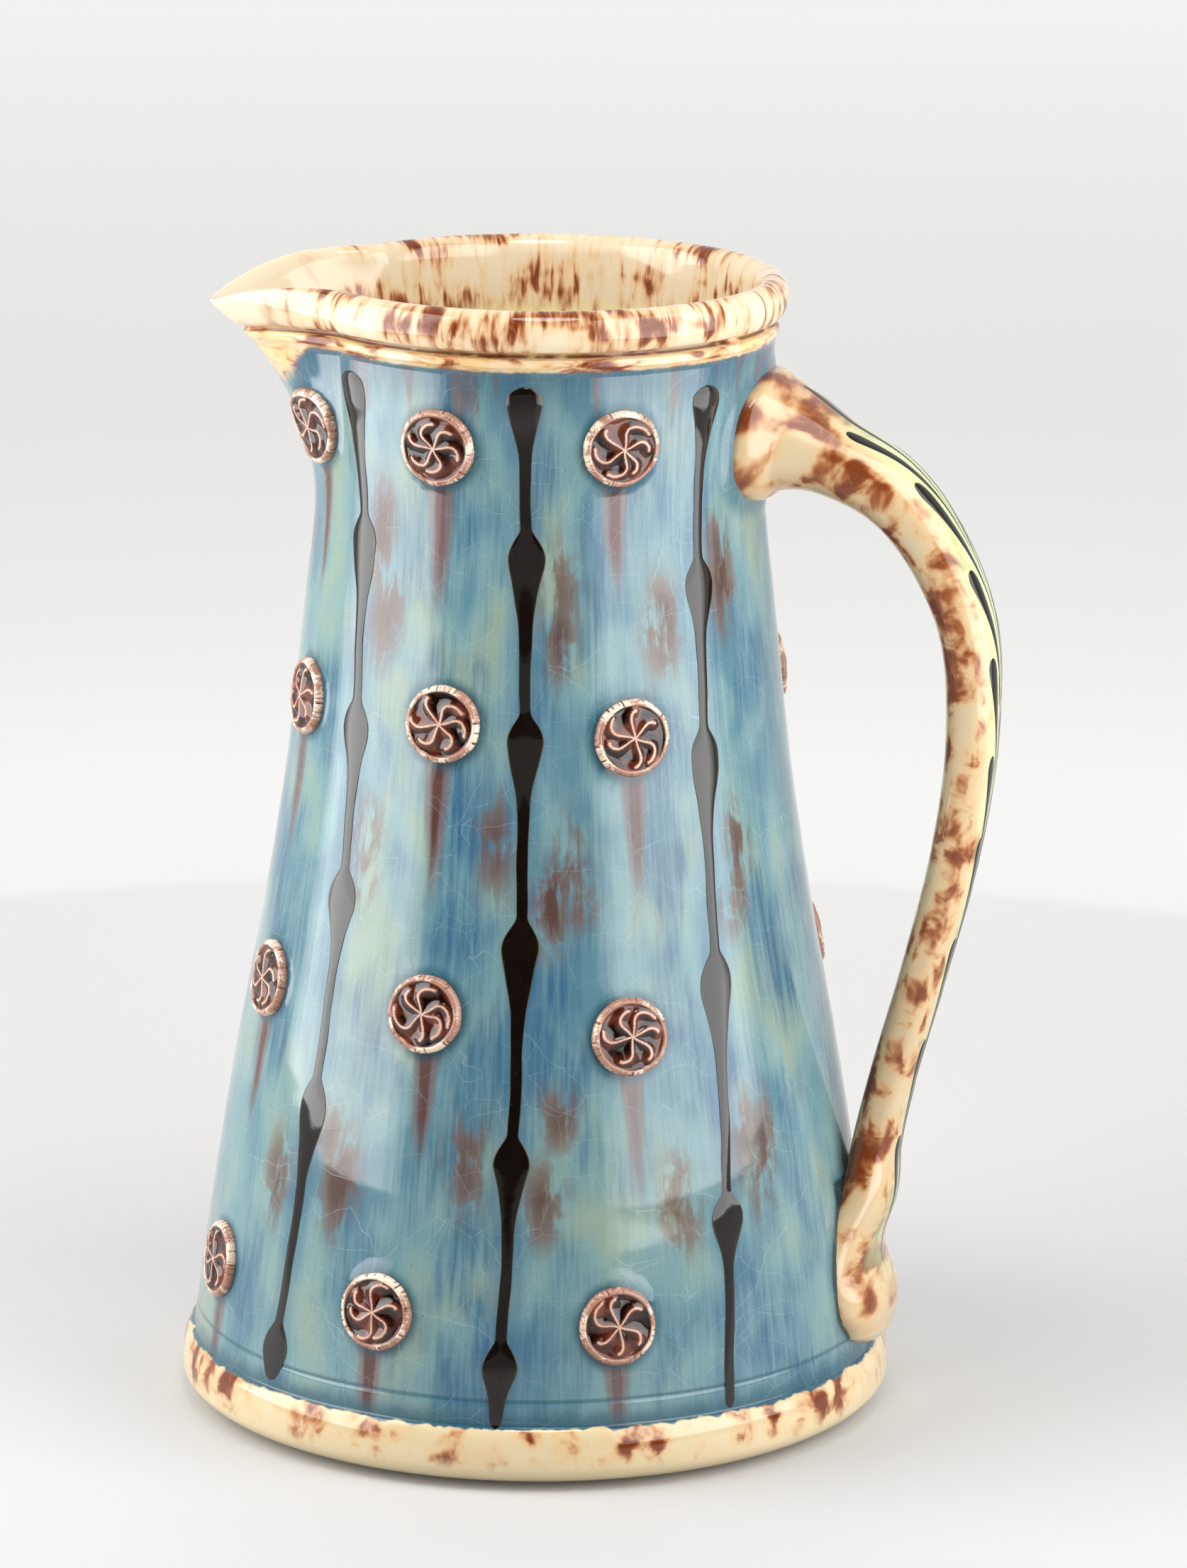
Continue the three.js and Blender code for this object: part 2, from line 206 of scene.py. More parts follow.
def ring_mesh(
    name: str,
    rings: Array,
    first_pole: Array,
    last_pole: Array,
    attributes: dict[str, Array] | None = None,
) -> Object:
    """A closed skin over a stack of rings, closed by a pole at each end.

    Args:
        name: The object's name.
        rings: Array of rows, columns and 3 coordinates. Seen against the stack's direction, a row
            runs anticlockwise.
        first_pole: The point that closes the first ring.
        last_pole: The point that closes the last ring.
        attributes: Arrays of rows and columns, with a third axis of 3 for a vector. A pole takes the
            mean of its ring.

    Returns:
        The new object, shaded smooth.
    """
    rows, columns = rings.shape[:2]
    points = np.vstack([rings.reshape(-1, 3), first_pole[None], last_pole[None]])
    points = np.clip(points, np.array(cad_low) + BOX_MARGIN, np.array(cad_high) - BOX_MARGIN)
    k = np.arange(columns)
    after = (k + 1) % columns
    base = (np.arange(rows - 1) * columns)[:, None]
    quads = np.stack([base + k, base + after, base + columns + after, base + columns + k], axis=-1)
    quads = quads.reshape(-1, 4)
    top = (rows - 1) * columns
    caps = np.vstack([
        np.stack([np.full(columns, rows * columns), after, k], axis=-1),
        np.stack([np.full(columns, rows * columns + 1), top + k, top + after], axis=-1),
    ])
    loops = np.concatenate([quads.ravel(), caps.ravel()]).astype(np.int32)
    starts = np.concatenate([np.arange(len(quads)) * 4, len(quads) * 4 + np.arange(len(caps)) * 3])
    mesh = bpy.data.meshes.new(name)
    mesh.vertices.add(len(points))
    mesh.vertices.foreach_set("co", points.astype(np.float32).ravel())
    mesh.loops.add(len(loops))
    mesh.loops.foreach_set("vertex_index", loops)
    mesh.polygons.add(len(starts))
    mesh.polygons.foreach_set("loop_start", starts.astype(np.int32))
    mesh.update(calc_edges=True)
    mesh.validate()
    mesh.polygons.foreach_set("use_smooth", np.ones(len(mesh.polygons), bool))
    for key, values in (attributes or {}).items():
        kind, entry = ("FLOAT_VECTOR", "vector") if values.ndim == 3 else ("FLOAT", "value")
        flat = values.reshape(rows, columns, -1)
        data = np.vstack([flat.reshape(rows * columns, -1), flat[0].mean(0), flat[-1].mean(0)])
        layer = mesh.attributes.new(key, kind, "POINT")
        layer.data.foreach_set(entry, data.astype(np.float32).ravel())
    return placed(name, mesh)


def dress(piece: Object, material: Material, nodes: Sequence[str]) -> None:
    """Gives a piece its glaze, its body and the frame nodes it stands for.

    Args:
        piece: The finished mesh object.
        material: Its glaze.
        nodes: Names of the frame nodes that it replaces; none for an added piece.
    """
    piece.data.materials.append(material)
    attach(piece, "root")
    if nodes:
        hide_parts(*nodes)
    log.info("%s: %d faces", piece.name, len(piece.data.polygons))


# ---- form of the thrown body ----


@dataclass(frozen=True)
class Spout:
    """The pull of the spout: how far rim and throat move out and down round its bearing."""

    bearing: float = 187.0
    half_angle: float = 38.0
    reach: float = 21.5 * MM
    drop: float = 7.3 * MM
    root_depth: float = 55 * MM
    lip_thinning: float = 0.45
    focus: float = 1.5
    reach_gather: float = 2.1
    drop_focus: float = 2.9
    drop_gather: float = 4.0

    def share(self, bearings: Array) -> Array:
        """Share of the pull, (1 - (turn / half angle)^2)^focus, 1 on the centre line."""
        turn = wrapped(bearings - self.bearing) / self.half_angle
        return np.maximum(0, 1 - turn**2) ** self.focus


@dataclass(frozen=True)
class Wall:
    """The thrown form that every other piece sits on."""

    crest: float = 250 * MM
    roll_half_height: float = 4.7 * MM
    roll_half_width: float = 3.5 * MM
    roll_start: float = -52.0
    rim_inset: float = 0.8 * MM
    groove_height: float = 1.4 * MM
    groove_depth: float = 1.0 * MM
    collar_height: float = 2.2 * MM
    collar_stand: float = 0.8 * MM
    collar_squareness: float = 4.0
    foot_top: float = 14 * MM
    foot_widest: float = 5.5 * MM
    foot_radius: float = 78.6 * MM
    foot_rounding: float = 12.6 * MM
    foot_step: float = 2.6 * MM
    floor: float = 9 * MM
    floor_fillet: float = 15 * MM
    neck_wall: float = 5 * MM
    foot_wall: float = 7 * MM
    thrown_mm: Floats = (71.5, 66.3, 60.3, 55.2, 51.6, 48.5, 50.6)
    curve_points: int = 900
    probe_turn: float = 0.05
    probe_rise: float = 0.05 * MM
    spout: Spout = field(default_factory=Spout)

    @property
    def seat(self) -> float:
        """Height of the lower edge of the collar, where the wall's line ends."""
        groove_middle = self.crest - 2 * self.roll_half_height + self.groove_height / 2
        return groove_middle - self.groove_height - self.collar_height

    @property
    def seat_radius(self) -> float:
        """Radius of the wall at the collar's seat."""
        return self.thrown_mm[-1] * MM

    @property
    def crest_radius(self) -> float:
        """Radius of the rim's highest line."""
        return self.seat_radius - self.rim_inset

    def height_up(self, up: Array | float) -> Array | float:
        """Height of a place up the wall, 0 at the foot's top and 1 at the collar's seat."""
        return self.foot_top + (self.seat - self.foot_top) * up

    def radius(self, heights: Array) -> Array:
        """Outside radius: an elliptic roll below the foot's top, the thrown line above it."""
        radii = np.array([(self.foot_radius - self.foot_step) / MM, *self.thrown_mm]) * MM
        knots = np.stack([radii, self.height_up(np.linspace(0, 1, len(radii)))], axis=1)
        line = uniform_curve(knots, np.linspace(0, 1, self.curve_points))
        climb = np.clip((heights - self.foot_widest) / (self.foot_top - self.foot_widest), 0, 1)
        roll = self.foot_radius - self.foot_step * (1 - np.sqrt(1 - climb**2))
        return np.where(heights < self.foot_top, roll, np.interp(heights, line[:, 1], line[:, 0]))

    def radius_at(self, height: float) -> float:
        """Outside radius at one height."""
        return float(self.radius(np.array([height]))[0])

    def pulled(self, bearings: Array, radii: Array, heights: Array) -> Array:
        """Points of the turned form, moved out and down with the spout."""
        spout = self.spout
        share = spout.share(bearings)
        climb = np.clip((heights - self.crest + spout.root_depth) / spout.root_depth, 0, 1)
        out = radii + spout.reach * share * climb**spout.reach_gather
        down = spout.drop * share**spout.drop_focus * climb**spout.drop_gather
        turn = np.radians(bearings)
        return np.stack([out * np.cos(turn), out * np.sin(turn), heights - down], axis=-1)

    def on(self, bearings: Array, heights: Array, lift: Array | float) -> Array:
        """Points lifted off the outside along its normal, the cross product of two small steps."""
        raised = heights + self.probe_rise
        here = self.pulled(bearings, self.radius(heights), heights)
        beside = self.pulled(bearings + self.probe_turn, self.radius(heights), heights) - here
        above = self.pulled(bearings, self.radius(raised), raised) - here
        normal = np.cross(beside, above)
        normal /= np.linalg.norm(normal, axis=-1, keepdims=True)
        return here + normal * np.broadcast_to(lift, np.shape(heights))[..., None]


@dataclass(frozen=True)
class SprigPlace:
    """Where one medallion is pressed on: read from the middle of its frame node."""

    node: str
    bearing: float
    height: float
    turn: float


@dataclass(frozen=True)
class TrailPlan:
    """One trail of slip: its route from the frame node, and where its beads are up the wall."""

    number: int
    beads: Floats = (0.968, 0.8, 0.634, 0.438, 0.232, 0.045)

    @property
    def node(self) -> str:
        """Name of the frame node."""
        return f"trail_{self.number}"

    def route(self) -> tuple[np.poly1d, float, float]:
        """Bearing as a quadratic of the height, with the heights of the lower and upper end."""
        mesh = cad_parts[self.node].data
        flat = np.zeros(len(mesh.vertices) * 3)
        mesh.vertices.foreach_get("co", flat)
        x, y, heights = flat.reshape(-1, 3).T
        middle = math.degrees(math.atan2(y.mean(), x.mean()))
        bearings = middle + wrapped(np.degrees(np.arctan2(y, x)) - middle)
        fit = np.poly1d(np.polyfit(heights, bearings, 2))
        return fit, float(heights.min()), float(heights.max())


TRAILS = (
    *(TrailPlan(number) for number in (1, 2, 3, 4)),
    TrailPlan(5, (0.966, 0.818, 0.641, 0.48, 0.279, 0.038)),
    TrailPlan(6, (0.968, 0.818, 0.645, 0.452, 0.249, 0.055)),
    TrailPlan(7, (0.959, 0.781, 0.62, 0.408, 0.181)),
)


def sprig_places() -> list[SprigPlace]:
    """Every medallion's place, in the order of the nodes' names, each with its own turn in degrees."""
    rng = np.random.default_rng(RNG_SEED)
    places = []
    for node in sorted(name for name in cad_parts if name.startswith("medallion")):
        low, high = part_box(node)
        centre = (low + high) / 2
        bearing = math.degrees(math.atan2(centre.y, centre.x))
        places.append(SprigPlace(node, bearing, centre.z, float(rng.uniform(*WHORL_TURNS))))
    return places


@dataclass(frozen=True)
class Profile:
    """A half section of the body, from the middle of the underside, up outside and down inside.

    Radii, heights and reliefs are metres; a relief thins out at the lip. Arcs are millimetres along
    the section from the outer edge of the underside, and starts says where each stretch begins.
    """

    radii: Array
    heights: Array
    reliefs: Array
    arcs: Array
    starts: dict[str, float]


@dataclass(frozen=True)
class Blots:
    """Where the soft brown blots lie beside the trails, between the rows of sprigs, in mm."""

    sides: tuple[tuple[int, float], ...] = ((1, 1.0), (1, 0.9), (1, 0.7), (-1, 0.5))
    stray: float = 11.0
    offset: Span = (5, 12)
    tall: Span = (7, 12)
    wide: Span = (3.6, 6)
    strength: Span = (0.6, 1.0)
    row_column: str = "medallion_c2"
    row_digits: int = 2


@dataclass(frozen=True)
class Rings:
    """How many rings each stretch of the body's profile has, and how near the middle it comes."""

    under: int = 5
    edge: int = 11
    low_wall: int = 19
    wall: int = 111
    collar: int = 11
    groove: int = 6
    rim: int = 33
    inside: int = 33
    fillet: int = 9
    floor: int = 8
    under_from: float = 0.04
    floor_to: float = 0.05


@dataclass
class Body:
    """The thrown body: foot, wall, collar, rim roll and the inside, as one closed skin."""

    wall: Wall
    sprigs: list[SprigPlace]
    columns: int = 372
    spout_crowding: float = 0.35
    groove_line_height: float = 19.5 * MM
    groove_line_depth: float = 0.22 * MM
    groove_line_half_width: float = 0.4 * MM
    meniscus_height: float = 0.35 * MM
    meniscus_width_mm: float = 1.1
    meniscus_inner_mm: float = -0.5
    luting_height: float = 0.8 * MM
    luting_width_mm: float = 1.6
    throwing_relief: float = 0.1 * MM
    rib_waves: Floats = (31 * MM, 17 * MM, 11 * MM)
    swell_waves: Floats = (360, 120, 72)
    place_radius_mm: float = 60.0
    crowded_height: float = 9 * MM
    run_spread: Span = (22.0, 30.0)
    run_aside: Span = (-1.2, 1.6)
    run_strength: Span = (0.35, 1.0)
    run_reach: float = 0.3
    blots: Blots = Blots()
    rings: Rings = Rings()

    def profile(self) -> Profile:
        """The half section: underside, quarter ellipse of the foot, foot roll, thrown line, collar,
        groove, elliptic rim roll, inner wall, fillet and floor, one after the other."""
        w, count = self.wall, self.rings
        stretches: list[tuple[str, Array, Array, Array]] = []

        def add(name: str, radii: Array, heights: Array, reliefs: Array | float = 0.0) -> None:
            """Appends one stretch."""
            stretches.append((name, radii, heights, np.broadcast_to(reliefs, radii.shape)))

        rest = w.foot_radius - w.foot_rounding
        add("under", rest * open_span(count.under_from, 1, count.under), np.zeros(count.under))
        turn = np.radians(open_span(0, 90, count.edge))
        add("edge", rest + w.foot_rounding * np.sin(turn), w.foot_widest * (1 - np.cos(turn)))
        heights = w.foot_widest + (w.foot_top - w.foot_widest) * np.sin(turn)
        add("roll", w.radius(heights), heights)
        change = w.foot_top + self.crowded_height
        low_wall = open_span(w.foot_top, change, count.low_wall)
        heights = np.concatenate([low_wall, open_span(change, w.seat, count.wall)])
        add("wall", w.radius(heights), heights)
        climb = open_span(0, 1, count.collar)
        bulge = w.collar_stand * np.sqrt(np.clip(1 - (2 * climb - 1) ** w.collar_squareness, 0, 1))
        add("collar", np.full_like(climb, w.seat_radius), w.seat + w.collar_height * climb, bulge)
        climb = open_span(0, 1, count.groove)
        heights = w.seat + w.collar_height + w.groove_height * climb
        dip = -w.groove_depth * np.sin(climb * math.pi)
        add("groove", np.full_like(climb, w.seat_radius), heights, dip)
        turn = np.radians(open_span(w.roll_start, 180, count.rim))
        middle = w.crest - w.roll_half_height
        heights = middle + w.roll_half_height * np.sin(turn)
        add("rim", np.full_like(turn, w.crest_radius), heights, w.roll_half_width * np.cos(turn))
        fillet_top = w.floor + w.floor_fillet
        heights = open_span(w.seat, fillet_top, count.inside)
        depth = (w.seat - heights) / (w.seat - fillet_top)
        inner = w.radius(heights) - (w.neck_wall + (w.foot_wall - w.neck_wall) * depth)
        lip = (w.crest_radius - w.roll_half_width + inner[0]) / 2
        heights = np.concatenate([[(middle + w.seat) / 2], heights])
        add("inside", np.concatenate([[lip], inner]), heights)
        turn = np.radians(open_span(0, 90, count.fillet))
        start = w.radius_at(fillet_top) - w.foot_wall - w.floor_fillet
        add("fillet", start + w.floor_fillet * np.cos(turn), fillet_top - w.floor_fillet * np.sin(turn))
        radii = start * np.linspace(1, count.floor_to, count.floor)
        add("floor", radii, np.full_like(radii, w.floor))
        radii, heights, reliefs = (np.concatenate([s[k] for s in stretches]) for k in (1, 2, 3))
        arcs = run_lengths(np.stack([radii + reliefs, heights], axis=-1))
        counts = np.cumsum([0] + [len(s[1]) for s in stretches])
        arcs = (arcs - arcs[counts[1]]) / MM
        starts = {s[0]: float(arcs[counts[k]]) for k, s in enumerate(stretches)}
        return Profile(radii, heights, reliefs, arcs, starts)

    def build(self, joint: Callable[[Array, Array], Array]) -> tuple[Object, dict[str, float]]:
        """The fine mesh, with the fields that its glaze reads.

        Column k stands at spout bearing + turn - crowding * sin(turn). The outside has a groove
        line above the foot, a low ring of glaze round each sprig, a fillet of clay along the
        handle's joints and the faint rings of throwing.

        Args:
            joint: Distance of wall points from the outline of the handle's joints.

        Returns:
            The object and the places along its profile where the stretches start.
        """
        w = self.wall
        profile = self.profile()
        turn = np.linspace(0, 2 * math.pi, self.columns, endpoint=False)
        bearings = w.spout.bearing + np.degrees(turn - self.spout_crowding * np.sin(turn))
        kept = 1 - w.spout.lip_thinning * w.spout.share(bearings)
        height, bearing = np.meshgrid(profile.heights, bearings, indexing="ij")
        radius = profile.radii[:, None] + profile.reliefs[:, None] * kept
        arc = np.repeat(profile.arcs[:, None], self.columns, axis=1)
        outside = ((arc >= profile.starts["wall"]) & (arc < profile.starts["collar"])).astype(float)
        sprig = self.round_sprigs(bearing, height)
        apart = np.maximum(sprig[..., 0] - Sprig.radius / MM, self.meniscus_inner_mm)
        lute = joint(bearing, height)
        line = (height - self.groove_line_height) / self.groove_line_half_width
        radius += outside * (
            self.meniscus_height * np.exp(-((apart / self.meniscus_width_mm) ** 2))
            + self.luting_height * np.exp(-((np.maximum(lute, 0) / self.luting_width_mm) ** 2))
            - self.groove_line_depth * np.exp(-(line**2))
        )
        ribs = wander(height, self.rib_waves, np.random.default_rng(RNG_SEED))
        swell = wander(bearing, self.swell_waves, np.random.default_rng(RNG_SEED + 1))
        radius += outside * self.throwing_relief * (ribs + swell) / 2
        spread = np.radians(bearing)
        around = self.place_radius_mm * np.cos(spread), self.place_radius_mm * np.sin(spread)
        trail, blot = self.nearest_trail(bearing, height), self.smudges(bearing, height)
        fields = {
            "place": np.stack([*around, arc], axis=-1),
            "sprig": sprig[..., :3],
            "run_core": sprig[..., 3],
            "near": np.stack([trail, blot, lute], axis=-1),
        }
        points = w.pulled(bearing, radius, height)
        body = ring_mesh("body_skin", points, np.zeros(3), np.array([0, 0, w.floor]), fields)
        return body, profile.starts

    def round_sprigs(self, bearing: Array, height: Array) -> Array:
        """Where each point lies to the sprigs and to the runs of glaze under them.

        Returns:
            Vectors of the millimetres from the nearest sprig's middle, the millimetres aside of the
            nearest run, the share of that run's length, 0 under the sprig and 1 at its end, and how
            strong its core is.
        """
        radius = self.wall.radius(height)
        rng = np.random.default_rng(RNG_SEED + 3)
        reach = np.full(height.shape, FAR_MM)
        best = np.full(height.shape, np.inf)
        run = np.zeros((*height.shape, 3))
        run[..., 0] = FAR_MM
        for place in self.sprigs:
            aside = np.radians(wrapped(bearing - place.bearing)) * radius / MM
            below = (place.height - height) / MM
            reach = np.minimum(reach, np.hypot(aside, below))
            length = rng.uniform(*self.run_spread)
            beside = np.abs(aside - rng.uniform(*self.run_aside))
            strength = rng.uniform(*self.run_strength)
            cost = np.where(below > 0, np.hypot(beside, self.run_reach * below), np.inf)
            nearer = cost < best
            best = np.where(nearer, cost, best)
            along = (below - Sprig.radius / MM) / length
            ours = np.stack([beside, along, np.full_like(along, strength)], axis=-1)
            run = np.where(nearer[..., None], ours, run)
        return np.concatenate([reach[..., None], run], axis=-1)

    def nearest_trail(self, bearing: Array, height: Array) -> Array:
        """Millimetres along the wall to the nearest trail's centre line."""
        radius = self.wall.radius(height)
        best = np.full(height.shape, FAR_MM)
        for plan in TRAILS:
            route, low, high = plan.route()
            within = np.clip(height, low, high)
            aside = np.radians(wrapped(bearing - route(within))) * radius
            best = np.minimum(best, np.hypot(aside, height - within) / MM)
        return best

    def smudges(self, bearing: Array, height: Array) -> Array:
        """The greatest of exp(-(aside / width)^2 - (rise / tall)^2) over all the brown blots."""
        b = self.blots
        rng = np.random.default_rng(RNG_SEED + 2)
        rows = sorted({round(p.height, b.row_digits) for p in self.sprigs if b.row_column in p.node})
        radius = self.wall.radius(height)
        blot = np.zeros(height.shape)
        for plan in TRAILS:
            route, _, _ = plan.route()
            for low, high in zip(rows, rows[1:]):
                for side, chance in b.sides:
                    middle = (low + high) / 2 + rng.uniform(-b.stray, b.stray) * MM
                    offset = side * rng.uniform(*b.offset) * MM
                    tall, wide = rng.uniform(*b.tall) * MM, rng.uniform(*b.wide) * MM
                    strength = rng.uniform(*b.strength) if rng.random() < chance else 0.0
                    aside = np.radians(wrapped(bearing - route(middle))) * radius - offset
                    shape = np.exp(-((aside / wide) ** 2) - ((height - middle) / tall) ** 2)
                    blot = np.maximum(blot, strength * shape)
        return blot


# ---- handle ----


@dataclass(frozen=True)
class Station:
    """One section of the strap: place up the wall, stand-off of its centre, depth and width in mm."""

    up: float
    stand_off: float
    deep: float
    wide: float


STATIONS = tuple(Station(*row) for row in (
    (0.906, 2, 28, 37), (0.902, 7.5, 22, 30), (0.888, 16, 16.4, 24), (0.859, 28.2, 14.8, 20.5),
    (0.813, 36.7, 13.6, 18.5), (0.729, 43, 12.3, 17.5), (0.617, 41.8, 11, 16.5),
    (0.505, 35.2, 10.4, 16), (0.389, 24.6, 10, 15.5), (0.277, 13.2, 10, 15.5), (0.206, 7.2, 10.4, 18),
    (0.161, 4.6, 11.4, 26), (0.121, 0.4, 12, 35), (0.09, -1.2, 12.2, 40), (0.05, 0.3, 12.4, 40),
    (0.025, -0.6, 12, 33),
))


@dataclass(frozen=True)
class Brush:
    """How a feathered stroke lies on the handle's face. Its asides are shares of the half width."""

    rows: int = 60
    columns: int = 15
    length: float = 40 * MM
    length_spread: Span = (0.92, 1.08)
    half_width: float = 1.7 * MM
    thickness: float = 0.2 * MM
    edge_lift: float = -0.05 * MM
    back_lift: float = -0.25 * MM
    head: float = 0.09
    taper: float = 1.35
    thinnest: float = 0.02
    aside: float = 0.56
    end_aside: float = 0.05
    sweep: Span = (-0.05, 0.8)
    parting_mm: Span = (0, 20)
    closing_mm: Span = (60, 110)
    closing: float = 0.5

    def swell(self, u: Array) -> Array:
        """Share of the full width at the share u of the length: sqrt(1 - (1 - u / head)^2) up to the
        head's middle, and (1 - (u - head) / (1 - head))^taper past it."""
        head = np.sqrt(np.maximum(1 - (1 - u / self.head) ** 2, 0))
        return np.where(u < self.head, head, (1 - (u - self.head) / (1 - self.head)) ** self.taper)

    def centre(self, u: Array, start: float) -> Array:
        """Where the middle of a stroke lies across the face, as it sweeps in to the centre line."""
        aside = self.aside * smooth_step(start, *self.parting_mm)
        aside *= 1 - self.closing * smooth_step(start, *self.closing_mm)
        return aside * (1 - smooth_step(u, *self.sweep)) + self.end_aside


@dataclass
class Handle:
    """The pulled strap handle with its flared root and its spread terminal."""

    wall: Wall
    stations: tuple[Station, ...] = STATIONS
    terminal_from: int = 11
    squareness: float = 2.6
    root_bury: float = 3 * MM
    root_flare: float = 1.05
    root_rings: int = 12
    root_along_mm: float = -2.0
    tip_bury: float = 4 * MM
    tip_length: float = 4.5 * MM
    tip_rounding: float = 1 * MM
    tip_width: float = 18.6 * MM
    tip_rings: Floats = (0.5, 1.0)
    sink: float = 0.3 * MM
    columns: int = 96
    rows: int = 330
    probe: float = 1e-4
    root_scale_mm: float = 16
    tip_half_mm: float = 2.0
    terminal_rise_mm: float = 3
    joint_reach_mm: float = 40
    face_end: float = 0.98
    face_lean: int = 3
    measure_points: int = 2000
    near_strokes_mm: Floats = (15, 31, 51, 69, 90, 108, 131, 155, 178)
    far_strokes_mm: Floats = (4, 23, 41, 60, 80, 99, 120, 144, 166)
    brush: Brush = Brush()

    def centres(self, shares: Array) -> Array:
        """Points of the centre line in the handle's plane."""
        heights = np.array([self.wall.height_up(s.up) for s in self.stations])
        out = self.wall.radius(heights) + np.array([s.stand_off for s in self.stations]) * MM
        return centripetal_curve(np.stack([out, np.zeros_like(out), heights], axis=1), shares)

    def sizes(self, shares: Array) -> Array:
        """Depth and width of the strap, in metres."""
        return uniform_curve(np.array([[s.deep, s.wide] for s in self.stations]) * MM, shares)

    def outward(self, shares: Array) -> Array:
        """Unit vectors in the handle's plane, across the centre line and away from the jug."""
        before, after = (np.clip(shares + step, 0, 1) for step in (-self.probe, self.probe))
        along = self.centres(after) - self.centres(before)
        along /= np.linalg.norm(along, axis=1, keepdims=True)
        return np.cross(np.array([0, -1.0, 0]), along)

    def section(self, turns: Array, deep: Array | float, wide: Array | float) -> tuple[Array, Array]:
        """The superellipse |high / (deep/2)|^n + |side / (wide/2)|^n = 1 at the given turns."""
        power = 2 / self.squareness
        high, side = (
            np.sign(f(turns)) * np.abs(f(turns)) ** power * size / 2
            for f, size in ((np.cos, deep), (np.sin, wide))
        )
        return high, side

    def bent(self, points: Array) -> Array:
        """Points bent round the jug's axis: X becomes the radius, Y an arc on it. A point that would
        lie deep in the wall comes out to just under its face."""
        radius = np.maximum(points[..., 0], self.wall.radius(points[..., 2]) - self.sink)
        bearing = points[..., 1] / radius
        return np.stack([radius * np.cos(bearing), radius * np.sin(bearing), points[..., 2]], axis=-1)

    def joint_distance(self, bearing: Array, height: Array) -> Array:
        """Millimetres from a wall point to the outline of the root or of the terminal.

        The root's outline is a superellipse. The terminal's half width follows the stations, so
        there the distance is what the point lies aside of that half width.
        """
        root, power = self.stations[0], self.squareness
        aside = np.abs(np.radians(wrapped(bearing)) * self.wall.radius(height)) / MM
        level = height / MM
        u = aside / (root.wide * self.root_flare / 2)
        v = np.abs(level - self.wall.height_up(root.up) / MM) / (root.deep * self.root_flare / 2)
        to_root = ((u**power + v**power) ** (1 / power) - 1) * self.root_scale_mm
        lower = self.stations[self.terminal_from :][::-1]
        levels = [self.wall.height_up(s.up) / MM for s in lower]
        levels = np.array([levels[0] - self.tip_length / MM, *levels])
        halves = np.array([self.tip_half_mm, *(s.wide / 2 for s in lower)])
        over = np.maximum(levels[0] - level, 0)
        over = over + np.maximum(level - levels[-1] - self.terminal_rise_mm, 0)
        beside = aside - np.interp(level, levels, halves)
        outside = np.hypot(np.maximum(beside, 0), over)
        to_terminal = np.where((beside < 0) & (over <= 0), beside, outside)
        return np.minimum(np.minimum(to_root, to_terminal), self.joint_reach_mm)

    def build(self) -> Object:
        """The fine skin: root cap, swept sections, tip. Its field strap holds the side of the
        strap from -1 to 1, the millimetres along the centre line and how far it faces out."""
        turns = np.linspace(0, 2 * math.pi, self.columns, endpoint=False)
        root, last = self.stations[0], self.stations[-1]
        root_height = self.wall.height_up(root.up)
        root_radius = self.wall.radius_at(root_height)
        grown = np.arange(1, self.root_rings + 1)[:, None] / self.root_rings * self.root_flare
        high, side = self.section(turns, root.deep * MM * grown, root.wide * MM * grown)
        buried = np.full_like(high, root_radius - self.root_bury)
        cap = np.stack([buried, -side, root_height + high], axis=-1)
        shares = np.linspace(0, 1, self.rows)
        centres, sizes = self.centres(shares), self.sizes(shares)
        high, side = self.section(turns, sizes[:, :1], sizes[:, 1:])
        swept = centres[:, None] + self.outward(shares)[:, None] * high[..., None]
        swept[..., 1] -= side
        tip_height = self.wall.height_up(last.up) - self.tip_length
        tip_radius = self.wall.radius_at(tip_height)
        share = np.array(self.tip_rings)[:, None]
        wide = last.wide * MM + (self.tip_width - last.wide * MM) * share
        high, side = self.section(turns, last.deep * MM, wide)
        level = tip_height + self.tip_rounding + (1 - share) * (self.tip_length - self.tip_rounding)
        bury = self.tip_bury * share - last.stand_off * MM * (1 - share)
        middle = np.stack([tip_radius - bury, np.zeros_like(bury), level], axis=-1)
        tip = middle + self.outward(np.array([1.0])) * high[:, None]
        tip[..., 1] -= side
        lengths = run_lengths(centres) / MM
        lengths = np.concatenate([
            np.full(self.root_rings, self.root_along_mm), lengths, np.full(len(tip), lengths[-1])
        ])
        strap = np.stack(np.broadcast_arrays(np.sin(turns), lengths[:, None], np.cos(turns)), axis=-1)
        first_pole = np.array([root_radius - self.sink, 0, root_height])
        last_pole = np.array([tip_radius - self.sink, 0, tip_height])
        points = self.bent(np.concatenate([cap, swept, tip]))
        return ring_mesh("handle_skin", points, first_pole, last_pole, {"strap": strap})

    def on_face(self, across: Array, shares: Array, lift: Array) -> Array:
        """Points of the outer face: across runs from -1 to 1 over the strap's width."""
        flat, lift = shares.ravel(), lift.ravel()
        sizes = self.sizes(flat)
        a = np.clip(across.ravel(), -self.face_end, self.face_end)
        high = sizes[:, 0] / 2 * (1 - np.abs(a) ** self.squareness) ** (1 / self.squareness)
        points = self.centres(flat) + self.outward(flat) * (high + lift)[:, None]
        points[:, 1] -= a * sizes[:, 1] / 2
        points[:, 1] -= a**self.face_lean * lift
        return self.bent(points).reshape(*across.shape, 3)

